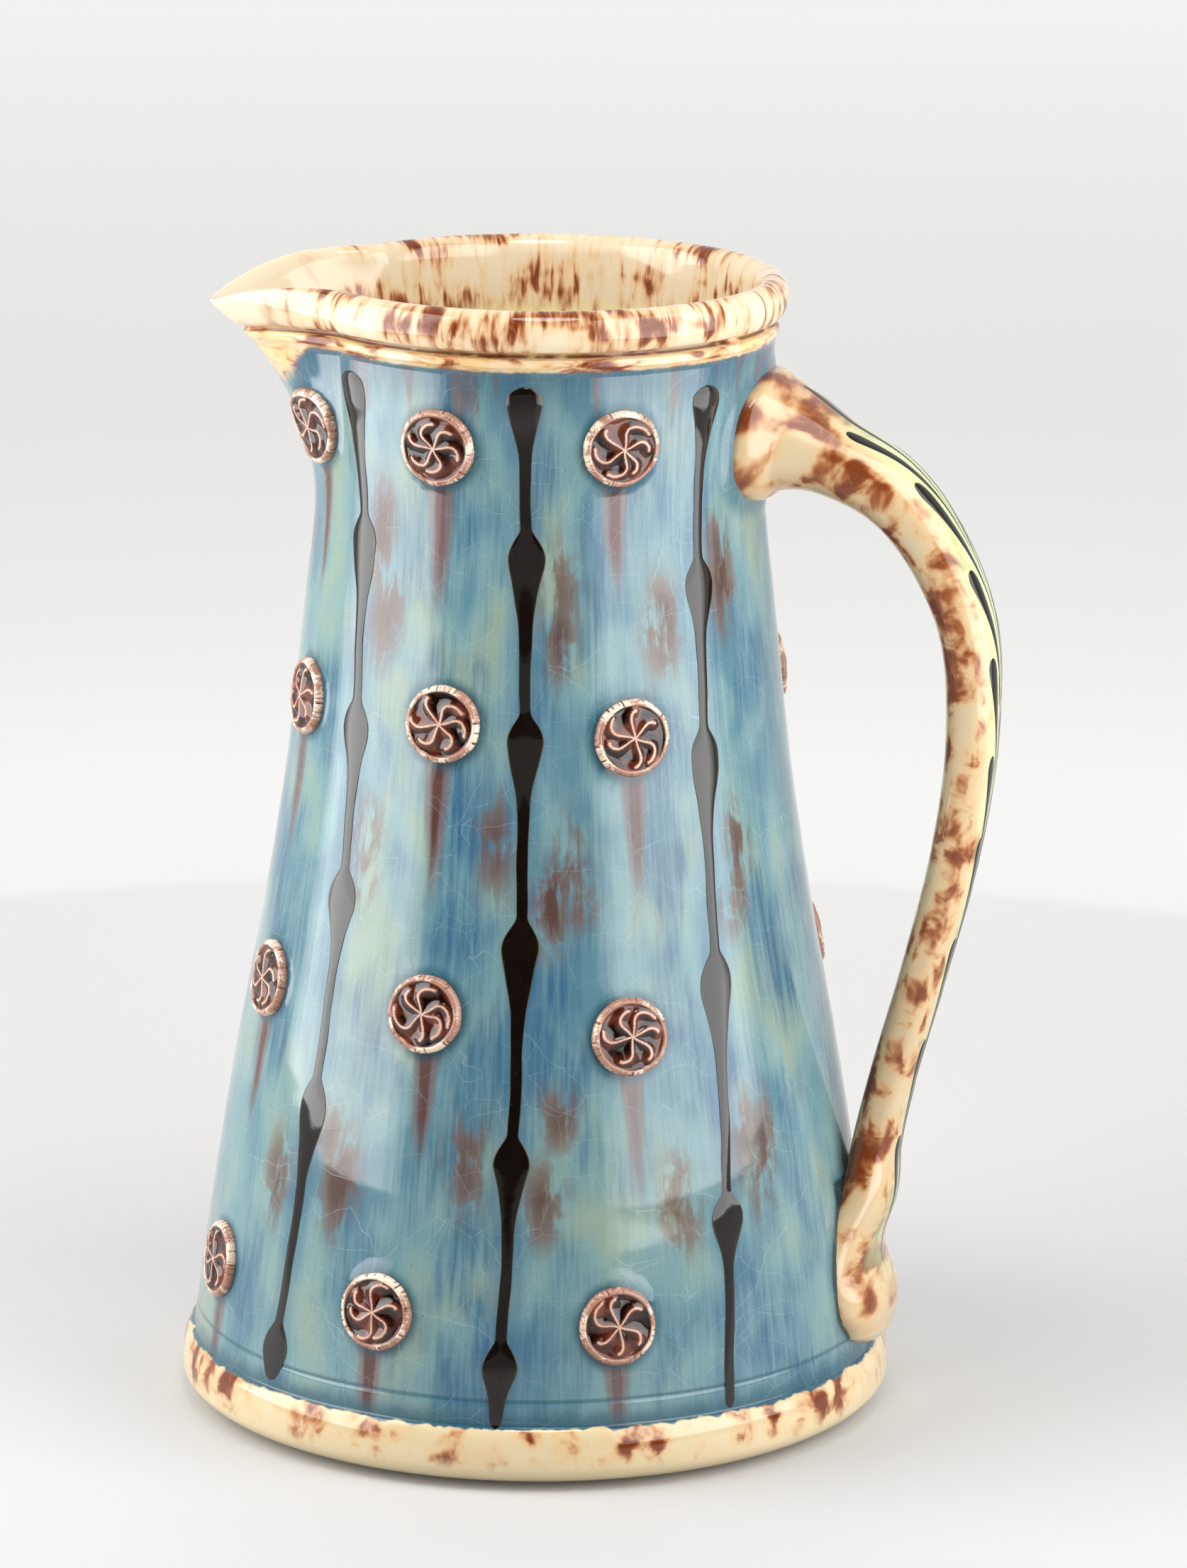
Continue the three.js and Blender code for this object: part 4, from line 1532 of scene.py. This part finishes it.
@dataclass(frozen=True, kw_only=True)
class BodyGlaze(Glaze):
    """The body's glaze: streaked blue on the wall, mottled cream on rim, collar, foot and inside.

    The zones are told apart along the profile: their spans are millimetres from the start of a
    stretch, and the others are values of a noise or a field. Spoutward is 1 on the spout's bearing.
    """

    arcs: dict[str, float]
    crazing: Tree
    mottle: Tree
    wall: Wall
    name: str = "jug_body_glaze"
    patch: Grain = Grain(0.055, 0.03, warp=0.4)
    streak: Grain = Grain(0.85, 0.065, 9.0, 3.0, 0.6)
    cloud: Grain = Grain(0.06, 0.034, 5.0, warp=0.3)
    hair: Grain = Grain(2.6, 0.1, 3.0, 1.0)
    hair_share: float = 0.16
    streak_share: float = 0.2
    grounds: Stops = (
        (0.36, srgb(126, 146, 132)),
        (0.43, srgb(117, 144, 141)),
        (0.52, srgb(104, 137, 142)),
        (0.64, srgb(82, 118, 131)),
    )
    blues: Pair = (srgb(74, 112, 130), srgb(38, 80, 112))
    blue_span: Span = (0.3, 0.68)
    laid_span: Span = (0.42, 0.66)
    laid_strength: float = 0.82
    wobble: Grain = Grain(0.2, 0.05, 2.0)
    torn: Grain = Grain(0.2, 0.09, 6.0, 3.0, 0.6, 0.5)
    torn_streak: Grain = Grain(0.9, 0.07, 4.0, 3.0, 0.6)
    torn_share: float = 0.3
    torn_span: Span = (0.36, 0.56)
    blots: tuple[Coat, ...] = (
        Coat(0.02, 0.5, 0.75, srgb(100, 74, 62)), Coat(0.4, 0.9, 0.7, srgb(70, 40, 30))
    )
    run_start: Span = (-0.3, -0.02)
    run_end: Span = (0.5, 1.15)
    run_waver: float = 2.2
    wash: RunCoat = RunCoat(3.7, 1.6, 1.5, 0.7, srgb(108, 82, 78))
    wash_span: Span = (0.15, 0.45)
    core: RunCoat = RunCoat(1.9, 0.9, 0.9, 0.9, srgb(76, 38, 28))
    halo: Coat = Coat(8.2, 11.0, 0.75, TEAL, True, 2.0)
    trail_pool: Coat = Coat(1.5, 5.5, 0.4, srgb(44, 84, 116), True, 3.0)
    joint_pool: Coat = Coat(0.4, 4.5, 0.65, srgb(44, 84, 104), True, 4.0)
    joint_line: Coat = Coat(0.7, 1.7, 0.9, srgb(20, 38, 38), True)
    joint_line_span: Span = (90.0, 120.0)
    inside_span: Span = (4, 9)
    over_span: Span = (-12, -11)
    ivory: Grain = Grain(0.08, 0.2)
    foot_cream: Grain = Grain(0.06, 0.1)
    gold: Grain = Grain(0.07, 0.1, 7.0)
    gold_span: Span = (0.42, 0.56)
    gold_strength: float = 0.6
    gold_throat: Span = (0.9, 0.99)
    collar_end: float = 1.0
    plain_throat: Span = (0.86, 0.95)
    plain_end: float = 2
    rim_dabs: Dabs = Dabs(Grain(0.34, 0.09), Grain(0.055, 0.1, 11.0), 0.53)
    inner_dabs: Dabs = Dabs(Grain(0.22, 0.045), Grain(0.06, 0.03, 4.0), 0.4)
    collar_dabs: Dabs = Dabs(Grain(0.12, 0.4, 8.0), Grain(0.05, 0.1, 2.0), 0.56)
    foot_dabs: Dabs = Dabs(Grain(0.22, 0.18, 5.0), Grain(0.12, 0.03, 8.0), 0.52)
    fall: Grain = Grain(0.16, 0.01, 21.0)
    fall_reach: float = 44.0
    fall_span: Span = (-17, -3)
    fall_strength: float = 0.93
    fray: Grain = Grain(0.5, 0.2, 3.0, roughness=0.6)
    fray_reach: float = 5.0
    belt_start: Span = (2.0, 4.0)
    belt_end: Span = (8.0, 13.0)
    levels: tuple[tuple[str, float, float, Colour], ...] = (
        ("Stain", 0.45, 0.6, STAIN), ("Brown", 1.0, 0.84, BROWN), ("Dark", 1.0, 0.85, DARK_BROWN)
    )
    rim_line: Coat = Coat(0.25, 0.8, 0.85, DARK_BROWN, True)
    rim_line_at: float = 0.9
    rim_line_drawn: Grain = Grain(0.12, 0.12, 17.0)
    rim_line_span: Span = (0.36, 0.5)
    place_unit: float = 60
    edge: Grain = Grain(0.3, 0.1, 6.0)
    edge_reach: float = 3.4
    fine_runs: Grain = Grain(0.42, 0.02, 31.0)
    fine_middle: float = 0.4
    fine_reach: float = 9.0
    throat_span: Span = (0.86, 0.985)
    throat_fall: float = 5.0
    throat_soft: float = 6.0
    top_at: float = -0.3
    top_soft: float = 0.7
    top_waver: float = 0.3
    low_span: Span = (-1.1, -0.5)
    clump: Grain = Grain(0.16, 0.02, 13.0)
    clump_fine: float = 0.25
    clump_span: Span = (0.62, 0.76)
    clump_reach: float = 13.0
    neck_stain: Coat = Coat(-0.5, 7.0, 0.75, srgb(118, 84, 70))
    foot_pool: Coat = Coat(0.5, 5.0, 0.8, TEAL, True)
    groove: Coat = Coat(0.15, 0.7, 0.6, TEAL, True)
    groove_at: float = 5.6
    neck_pool: Coat = Coat(-14.0, -1.0, 0.65, srgb(44, 78, 98), waver=3.0)
    craze_cell: float = 10.0
    speck_colour: Colour = srgb(66, 70, 64)
    speck_strength: Span = (0.8, 0.5)
    crack_colours: Pair = (srgb(196, 218, 212), srgb(196, 160, 118))
    crack_strength: float = 0.13
    crack_depth: float = 0.3
    ripple: Grain = Grain(0.16, 0.12, 40.0)
    ripple_height: float = 1.6

    def span(self, start: str, span: Span) -> Span:
        """A span in millimetres from the start of a stretch, as arcs along the profile."""
        return self.arcs[start] + span[0], self.arcs[start] + span[1]

    def blue(self, n: Nodes, place: Value) -> Value:
        """Pale green and grey-blue ground under patches of blue laid on in fine upright strokes."""
        streak = self.streak.of(place)
        ground = n.ramp(self.cloud.of(place).blend(self.hair.of(place), self.hair_share), self.grounds)
        laid = self.patch.of(place).blend(streak, self.streak_share)
        blue = n.mix(streak.up(*self.blue_span), *self.blues)
        return n.mix(laid.up(*self.laid_span) * self.laid_strength, ground, blue)

    def browned(self, n: Nodes, colour: Value, place: Value) -> Value:
        """The wall with its halos, blots of brown, the runs under the sprigs and the line of
        thick glaze along the handle's joints."""
        reach, aside, run = n.field("sprig").split()
        trail, blot, joint = n.field("near").split()
        wobble = self.wobble.of(place) - 0.5
        streak = self.torn_streak.of(place)
        torn = self.torn.of(place).blend(streak, self.torn_share)
        smudge = blot * torn.up(*self.torn_span)
        for coat in self.blots:
            colour = coat.over(colour, smudge)
        started = run.up(*self.run_start) * run.down(*self.run_end)
        beside = aside + wobble * self.run_waver
        colour = self.wash.over(colour, run, beside, started, streak.up(*self.wash_span))
        colour = self.core.over(colour, run, beside, started, n.field("run_core", "Fac"))
        for coat, mask in ((self.halo, reach), (self.trail_pool, trail), (self.joint_pool, joint)):
            colour = coat.over(colour, mask + wobble * coat.waver)
        low = place.split()[2].down(*self.joint_line_span)
        return self.joint_line.over(colour, joint + wobble, low)

    def cream(self, n: Nodes, place: Value, arc: Value, spoutward: Value) -> Value:
        """Cream with brushed brown: streaks across the rim, flat dabs on the collar, long runs
        inside, and ragged blots that hang from the blue on the foot."""
        a = self.arcs
        inside = arc.up(*self.span("inside", self.inside_span))
        over_rim = arc.up(*self.span("collar", self.over_span))
        ground = n.mix(inside, n.mix(self.ivory.of(place), IVORY, CREAM), BUFF)
        ground = n.mix(over_rim, n.mix(self.foot_cream.of(place), FOOT_CREAM, CREAM), ground)
        on_collar = arc.down(a["groove"], a["rim"] + self.collar_end)
        throat = spoutward.up(*self.gold_throat) * arc.down(a["collar"], a["groove"])
        golden = (on_collar * self.gold.of(place).up(*self.gold_span)).maximum(throat)
        ground = n.mix(golden * over_rim * self.gold_strength, ground, YELLOW)
        kept = 1.0 - spoutward.up(*self.plain_throat) * arc.up(a["groove"], a["rim"] + self.plain_end)
        fallen = (arc - self.fall.of(place) * self.fall_reach).up(*self.span("inside", self.fall_span))
        shown = 1.0 - fallen * self.fall_strength
        frayed = (a["wall"] - arc) + self.fray.of(place) * self.fray_reach
        belt = frayed.up(*self.belt_start) * frayed.down(*self.belt_end)
        rim, inner, collar, foot = (
            dabs.of(self.mottle, place)
            for dabs in (self.rim_dabs, self.inner_dabs, self.collar_dabs, self.foot_dabs)
        )
        for key, share_inside, strength, brown in self.levels:
            level = n.mix(on_collar, rim[key], collar[key]) * kept
            level = n.mix(inside, level, inner[key] * shown * share_inside)
            level = n.mix(over_rim, foot[key] * belt, level)
            ground = n.mix(level * strength, ground, brown)
        line = abs(arc - (a["groove"] + self.rim_line_at))
        drawn = self.rim_line_drawn.of(place).up(*self.rim_line_span)
        return self.rim_line.over(ground, line, drawn, kept)

    def paint(self, n: Nodes) -> tuple[Value, Value]:
        """The wall's blue with its pools and stains, then the cream zones, crazing and specks."""
        collar, wall = self.arcs["collar"], self.arcs["wall"]
        place = n.field("place")
        x, y, arc = place.split()
        spoutward = toward(x, y, self.wall.spout.bearing, self.place_unit)
        ragged = (self.edge.of(place) - 0.5) * self.edge_reach
        level = arc + ragged
        fine = self.fine_runs.of(place)
        spouting = spoutward.up(*self.throat_span)
        fall = self.throat_fall + (fine - self.fine_middle) * self.fine_reach
        top = (collar + self.top_at) - spouting * fall
        soft = self.top_soft + spouting * self.throat_soft
        top_edge = (arc + ragged * self.top_waver).up(top - soft, top)
        creamy = top_edge.maximum(level.down(*self.span("wall", self.low_span)))
        blue = self.browned(n, self.blue(n, place), place)
        clump = (self.clump.of(place) + fine * self.clump_fine).up(*self.clump_span)
        blue = self.neck_stain.over(blue, arc + clump * self.clump_reach, start=collar)
        blue = self.foot_pool.over(blue, level, start=wall)
        blue = self.groove.over(blue, abs(arc - (wall + self.groove_at)))
        blue = self.neck_pool.over(blue, arc + ragged * self.neck_pool.waver, start=collar)
        colour = n.mix(creamy, blue, self.cream(n, place, arc, spoutward))
        crazed = n.outs("Group", {"Place": place, "Cell": self.craze_cell}, node_tree=self.crazing)
        speck = crazed["Speck"] * (self.speck_strength[0] - creamy * self.speck_strength[1])
        colour = n.mix(speck, colour, self.speck_colour)
        crack_colour = n.mix(creamy, *self.crack_colours)
        colour = n.mix(crazed["Crack"] * self.crack_strength, colour, crack_colour)
        height = self.ripple.of(place) * self.ripple_height + crazed["Crack"] * self.crack_depth
        return colour, height


@dataclass(frozen=True, kw_only=True)
class HandleGlaze(Glaze):
    """The handle's glaze: cream with brown dabs, and pale green down the outer face.

    Along is in millimetres from the root, and facing is 1 on the outer face.
    """

    crazing: Tree
    mottle: Tree
    name: str = "handle_glaze_fired"
    stroke_scale: tuple[float, float, float] = (1.2, 0.15, 1.0)
    patch_scale: tuple[float, float, float] = (1.3, 0.06, 1.1)
    patches: Grain = Grain(1, 1, 5.0)
    cover: float = 0.6
    ground: Grain = Grain(0.07, 0.07)
    grounds: Pair = (srgb(200, 182, 152), srgb(189, 169, 131))
    foot: Coat = Coat(222.0, 238.0, 0.6, YELLOW)
    levels: tuple[tuple[str, float, Colour], ...] = (
        ("Stain", 0.55, srgb(208, 162, 108)),
        ("Brown", 0.85, srgb(150, 76, 24)),
        ("Dark", 0.8, srgb(98, 38, 12)),
    )
    wave: Grain = Grain(0.09, 0.09, 3.0)
    wave_reach: float = 0.6
    narrowing_span: Span = (70.0, 130.0)
    narrowing: float = 0.22
    strip_span: Span = (0.55, 0.9)
    strip_start: Span = (8.0, 22.0)
    strip_end: Span = (195.0, 225.0)
    strip_strength: float = 0.75
    green: Grain = Grain(0.12, 0.12, 9.0)
    greens: Pair = (srgb(198, 208, 160), srgb(170, 196, 132))
    craze_cell: float = 8.0
    crazes: tuple[tuple[str, float, Colour], ...] = (
        ("Crack", 0.22, srgb(176, 138, 92)), ("Speck", 0.2, srgb(120, 86, 52))
    )
    ripple: Grain = Grain(0.14, 0.14, 40.0)
    ripple_height: float = 1.8

    def paint(self, n: Nodes) -> tuple[Value, Value]:
        """The cream with its dabs, which run along the strap, under the green strip."""
        strap = n.field("strap").split()
        _, along, facing = strap
        place = n.place_mm()
        strokes, patches = (
            n.add("CombineXYZ", dict(enumerate(part * by for part, by in zip(strap, scale))))
            for scale in (self.stroke_scale, self.patch_scale)
        )
        inputs = {"Strokes": strokes, "Patches": self.patches.at(patches), "Cover": self.cover}
        dabs = n.outs("Group", inputs, node_tree=self.mottle)
        colour = self.foot.over(n.mix(self.ground.of(place), *self.grounds), along)
        for key, strength, brown in self.levels:
            colour = n.mix(dabs[key] * strength, colour, brown)
        wave = (self.wave.of(place) - 0.5) * self.wave_reach
        strip = (facing + wave - along.up(*self.narrowing_span) * self.narrowing).up(*self.strip_span)
        strip = strip * along.up(*self.strip_start) * along.down(*self.strip_end)
        green = n.mix(self.green.of(place), *self.greens)
        colour = n.mix(strip * self.strip_strength, colour, green)
        crazed = n.outs("Group", {"Place": place, "Cell": self.craze_cell}, node_tree=self.crazing)
        for key, strength, paint in self.crazes:
            colour = n.mix(crazed[key] * strength, colour, paint)
        return colour, self.ripple.of(place) * self.ripple_height


@dataclass(frozen=True, kw_only=True)
class SprigGlaze(Glaze):
    """The sprigs' glaze: dark red-brown pools, worn to a pale pink on ridges and rim."""

    name: str = "sprig_glaze_fired"
    roughness: float = 0.05
    cloud: Grain = Grain(0.17, 0.17, warp=0.6)
    fine: Grain = Grain(2.2, 2.2, 5.0, 3.0)
    fine_share: float = 0.5
    pools: Stops = (
        (0.41, srgb(18, 5, 3)),
        (0.49, srgb(36, 12, 7)),
        (0.56, srgb(70, 28, 17)),
        (0.66, srgb(96, 46, 30)),
    )
    thin: Colour = srgb(126, 70, 50)
    thin_share: float = 0.4
    thin_span: Span = (0.06, 0.4)
    rim_span: Span = (0.8, 0.86)
    pales: Pair = (srgb(212, 172, 150), srgb(230, 204, 182))
    pale_span: Span = (0.42, 0.95)
    rust: Colour = srgb(138, 82, 60)
    rust_fine: float = 0.4
    rust_span: Span = (0.62, 0.73)
    rust_strength: float = 0.8
    bump_height: float = 0.4

    def paint(self, n: Nodes) -> tuple[Value, Value]:
        """Pools and bare clay by the mesh's own bareness, with rust on the rim."""
        bare, share, _ = n.field("sprig_face").split()
        place = n.place_mm()
        cloud, fine = self.cloud.of(place), self.fine.of(place)
        pool = n.ramp(cloud, self.pools)
        shown = bare + (fine - 0.5) * self.fine_share
        colour = n.mix(shown.up(*self.thin_span), pool, n.mix(self.thin_share, pool, self.thin))
        rim = share.up(*self.rim_span)
        colour = n.mix(shown.up(*self.pale_span), colour, n.mix(rim, *self.pales))
        rust = rim * (cloud + fine * self.rust_fine).up(*self.rust_span)
        return n.mix(rust * self.rust_strength, colour, self.rust), fine * self.bump_height


@dataclass(frozen=True, kw_only=True)
class SlipGlaze(Glaze):
    """Black slip under the glaze with pale dust in it, olive where it thins at its edge."""

    name: str = "slip_glaze_fired"
    roughness: float = 0.05
    cloud: Grain = Grain(0.3, 0.3)
    blacks: Pair = (srgb(8, 6, 5), srgb(22, 14, 10))
    edge_span: Span = (0.9, 1.0)
    olive: Colour = srgb(74, 66, 34)
    dust_scale: float = 0.9
    dust: Coat = Coat(0.03, 0.07, 0.45, srgb(150, 140, 120), True)
    ripple: Grain = Grain(0.2, 0.2, 40.0)
    ripple_height: float = 1.2

    def paint(self, n: Nodes) -> tuple[Value, Value]:
        """Black, then the olive edge, then the dust."""
        place = n.place_mm()
        edge = n.field("slip_edge", "Fac").up(*self.edge_span)
        colour = n.mix(edge, n.mix(self.cloud.of(place), *self.blacks), self.olive)
        inputs = {"Vector": place, "Scale": self.dust_scale}
        colour = self.dust.over(colour, n.add("TexVoronoi", inputs, "Distance", feature="F1"))
        return colour, self.ripple.of(place) * self.ripple_height


# ---- studio ----


@dataclass(frozen=True)
class SoftBox:
    """A tall soft box that covers some angles from the camera's direction, as the jug sees it.

    Angles are positive to the camera's right. The radiance says how bright its face is.
    """

    name: str
    low: float
    high: float
    radiance: float


@dataclass
class Studio:
    """Pale floor, soft boxes to both sides, a faint world, and the camera."""

    camera_at: tuple[float, float, float] = (0.3236, -1.4647, 0.5051)
    camera_turn: float = 12.0
    camera_tilt: float = 76.193
    camera_roll: float = 0.44
    focal_length: float = 214.0
    sensor: float = 36.0
    far_clip: float = 100
    boxes: tuple[SoftBox, ...] = (
        SoftBox("soft_box_left", -102.0, -49.0, 5.1), SoftBox("soft_box_right", 27.0, 86.0, 4.2)
    )
    box_distance: float = 0.42
    box_gap: float = 0.012
    box_bottom: float = 0.05
    box_height: float = 0.75
    edge_spreads: Floats = (0.86, 1.0, 1.14)
    overhead_at: tuple[float, float, float] = (0.15, -0.5, 1.35)
    overhead_aim: tuple[float, float, float] = (0, 0, 0.15)
    overhead_size: float = 0.5
    overhead_energy: float = 5.0
    floor_half: float = 40.0
    floor_cloud: Grain = Grain(2.0, 2.0, detail=3.0)
    floor_paints: Pair = (srgb(187, 186, 185), srgb(193, 192, 191))
    floor_roughness: float = 0.6
    glow_front: float = 0.15
    glow_reach: float = 2.65
    glow_ring: Span = (0.8, 2.2)
    glow_around: float = 0.13
    side_ring: Span = (0.34, 0.56)
    glow_aside: float = 0.5
    dim_middle: float = -11.0
    dim_edge: Span = (0.72, 0.85)
    glows: Stops = (
        (0.0, srgb(14, 14, 14)),
        (0.06, srgb(66, 66, 65)),
        (0.25, srgb(172, 172, 170)),
        (0.92, srgb(206, 206, 204)),
    )
    world_span: Span = (-0.3, 0.6)
    world_colours: Pair = (srgb(30, 31, 33), srgb(238, 238, 237))

    def camera(self) -> None:
        """The camera at the photograph's place, its long sensor side upright."""
        data = bpy.data.cameras.new("camera")
        data.sensor_fit = "HORIZONTAL"
        data.sensor_width = self.sensor
        data.lens = self.focal_length
        data.clip_end = self.far_clip
        made = placed("camera", data)
        turned = Matrix.Rotation(math.radians(self.camera_turn), 4, "Z")
        tilted = Matrix.Rotation(math.radians(self.camera_tilt), 4, "X")
        rolled = Matrix.Rotation(math.radians(self.camera_roll), 4, "Z")
        made.matrix_world = Matrix.Translation(self.camera_at) @ turned @ tilted @ rolled
        bpy.context.scene.camera = made

    def lamp(self, name: str, at: Vector, aim: Vector, energy: float, **settings: object) -> None:
        """An area lamp at a place, turned towards another."""
        data = bpy.data.lights.new(name, "AREA")
        data.energy = energy
        for key, value in settings.items():
            setattr(data, key, value)
        made = placed(name, data)
        made.location = at
        made.rotation_euler = (aim - at).to_track_quat("-Z", "Y").to_euler()

    def soft_box(self, box: SoftBox) -> None:
        """A soft box, made of lamps of unlike widths, so that its edges fall off in steps."""
        middle = math.radians((box.low + box.high) / 2 + self.camera_turn - 90)
        level = self.box_bottom + self.box_height / 2
        for number, spread in enumerate(self.edge_spreads):
            distance = self.box_distance + number * self.box_gap
            at = Vector((math.cos(middle), math.sin(middle), 0)) * distance
            at.z = level
            wide = 2 * distance * math.tan(math.radians((box.high - box.low) / 2)) * spread
            energy = box.radiance * math.pi * wide * self.box_height / len(self.edge_spreads)
            form = {"shape": "RECTANGLE", "size": wide, "size_y": self.box_height}
            self.lamp(f"{box.name}_{number + 1}", at, Vector((0, 0, level)), energy, **form)

    def glow(self, n: Nodes) -> Value:
        """The floor's own glow: strong behind the jug, weak all round far out, and some at its
        sides, outside the dim sector before it."""
        x, y, _ = n.place().split()
        behind = toward(x, y, self.camera_turn + 90)
        ahead = toward(x, y, self.camera_turn - 90 + self.dim_middle)
        reach = n.math("SQRT", x**2.0 + y**2.0)
        beside = reach.up(*self.side_ring) * (ahead / reach).down(*self.dim_edge) * self.glow_aside
        around = (reach.up(*self.glow_ring) * self.glow_around).maximum(beside)
        share = (behind + self.glow_front) / self.glow_reach
        return n.ramp(share.maximum(around), self.glows, "LINEAR")

    def floor(self) -> None:
        """A wide pale floor, lit a little from within so that it stays even."""
        mesh = bpy.data.meshes.new("floor")
        half = self.floor_half
        corners = [(-half, -half, 0), (half, -half, 0), (half, half, 0), (-half, half, 0)]
        mesh.from_pydata(corners, [], [(0, 1, 2, 3)])
        placed("floor", mesh)
        material = bpy.data.materials.new("floor_paint")
        material.use_nodes = True
        n = Nodes(material.node_tree)
        n.feed(material.node_tree.nodes["Principled BSDF"], {
            "Base Color": n.mix(self.floor_cloud.of(n.place()), *self.floor_paints),
            "Roughness": self.floor_roughness,
            "Emission Color": self.glow(n),
            "Emission Strength": 1.0,
        })
        mesh.materials.append(material)

    def world(self) -> None:
        """Dim towards the camera's side and bright behind the jug, by the ray's own direction."""
        world = bpy.data.worlds.new("studio")
        world.use_nodes = True
        n = Nodes(world.node_tree)
        x, y, _ = n.add("TexCoord", output="Generated").split()
        share = toward(x, y, self.camera_turn + 90).up(*self.world_span)
        colour = n.mix(share, *self.world_colours)
        n.feed(world.node_tree.nodes["Background"], {"Color": colour, "Strength": 1.0})
        bpy.context.scene.world = world

    def build(self) -> None:
        """Everything round the jug."""
        self.camera()
        for box in self.boxes:
            self.soft_box(box)
        at, aim = Vector(self.overhead_at), Vector(self.overhead_aim)
        self.lamp("overhead", at, aim, self.overhead_energy, shape="DISK", size=self.overhead_size)
        self.floor()
        self.world()
        bpy.context.scene.view_settings.view_transform = "Standard"


def main() -> None:
    """Builds the jug's pieces, their glazes and the studio."""
    wall = Wall()
    sprigs = sprig_places()
    handle = Handle(wall)
    shared = {"crazing": Crazing().group(), "mottle": Mottle().group()}
    body, arcs = Body(wall, sprigs).build(handle.joint_distance)
    dress(body, BodyGlaze(arcs=arcs, wall=wall, **shared).build(), ["jug_body"])
    dress(handle.build(), HandleGlaze(**shared).build(), ["handle"])
    slip = SlipGlaze().build()
    for stroke in handle.strokes():
        dress(stroke, slip, [])
    sprig_glaze = SprigGlaze().build()
    for number, place in enumerate(sprigs):
        dress(Sprig(wall, place, number).build(), sprig_glaze, [place.node])
    for plan in TRAILS:
        dress(Trail(wall, plan).build(), slip, [plan.node])
    Studio().build()


if __name__ == "__main__":
    main()
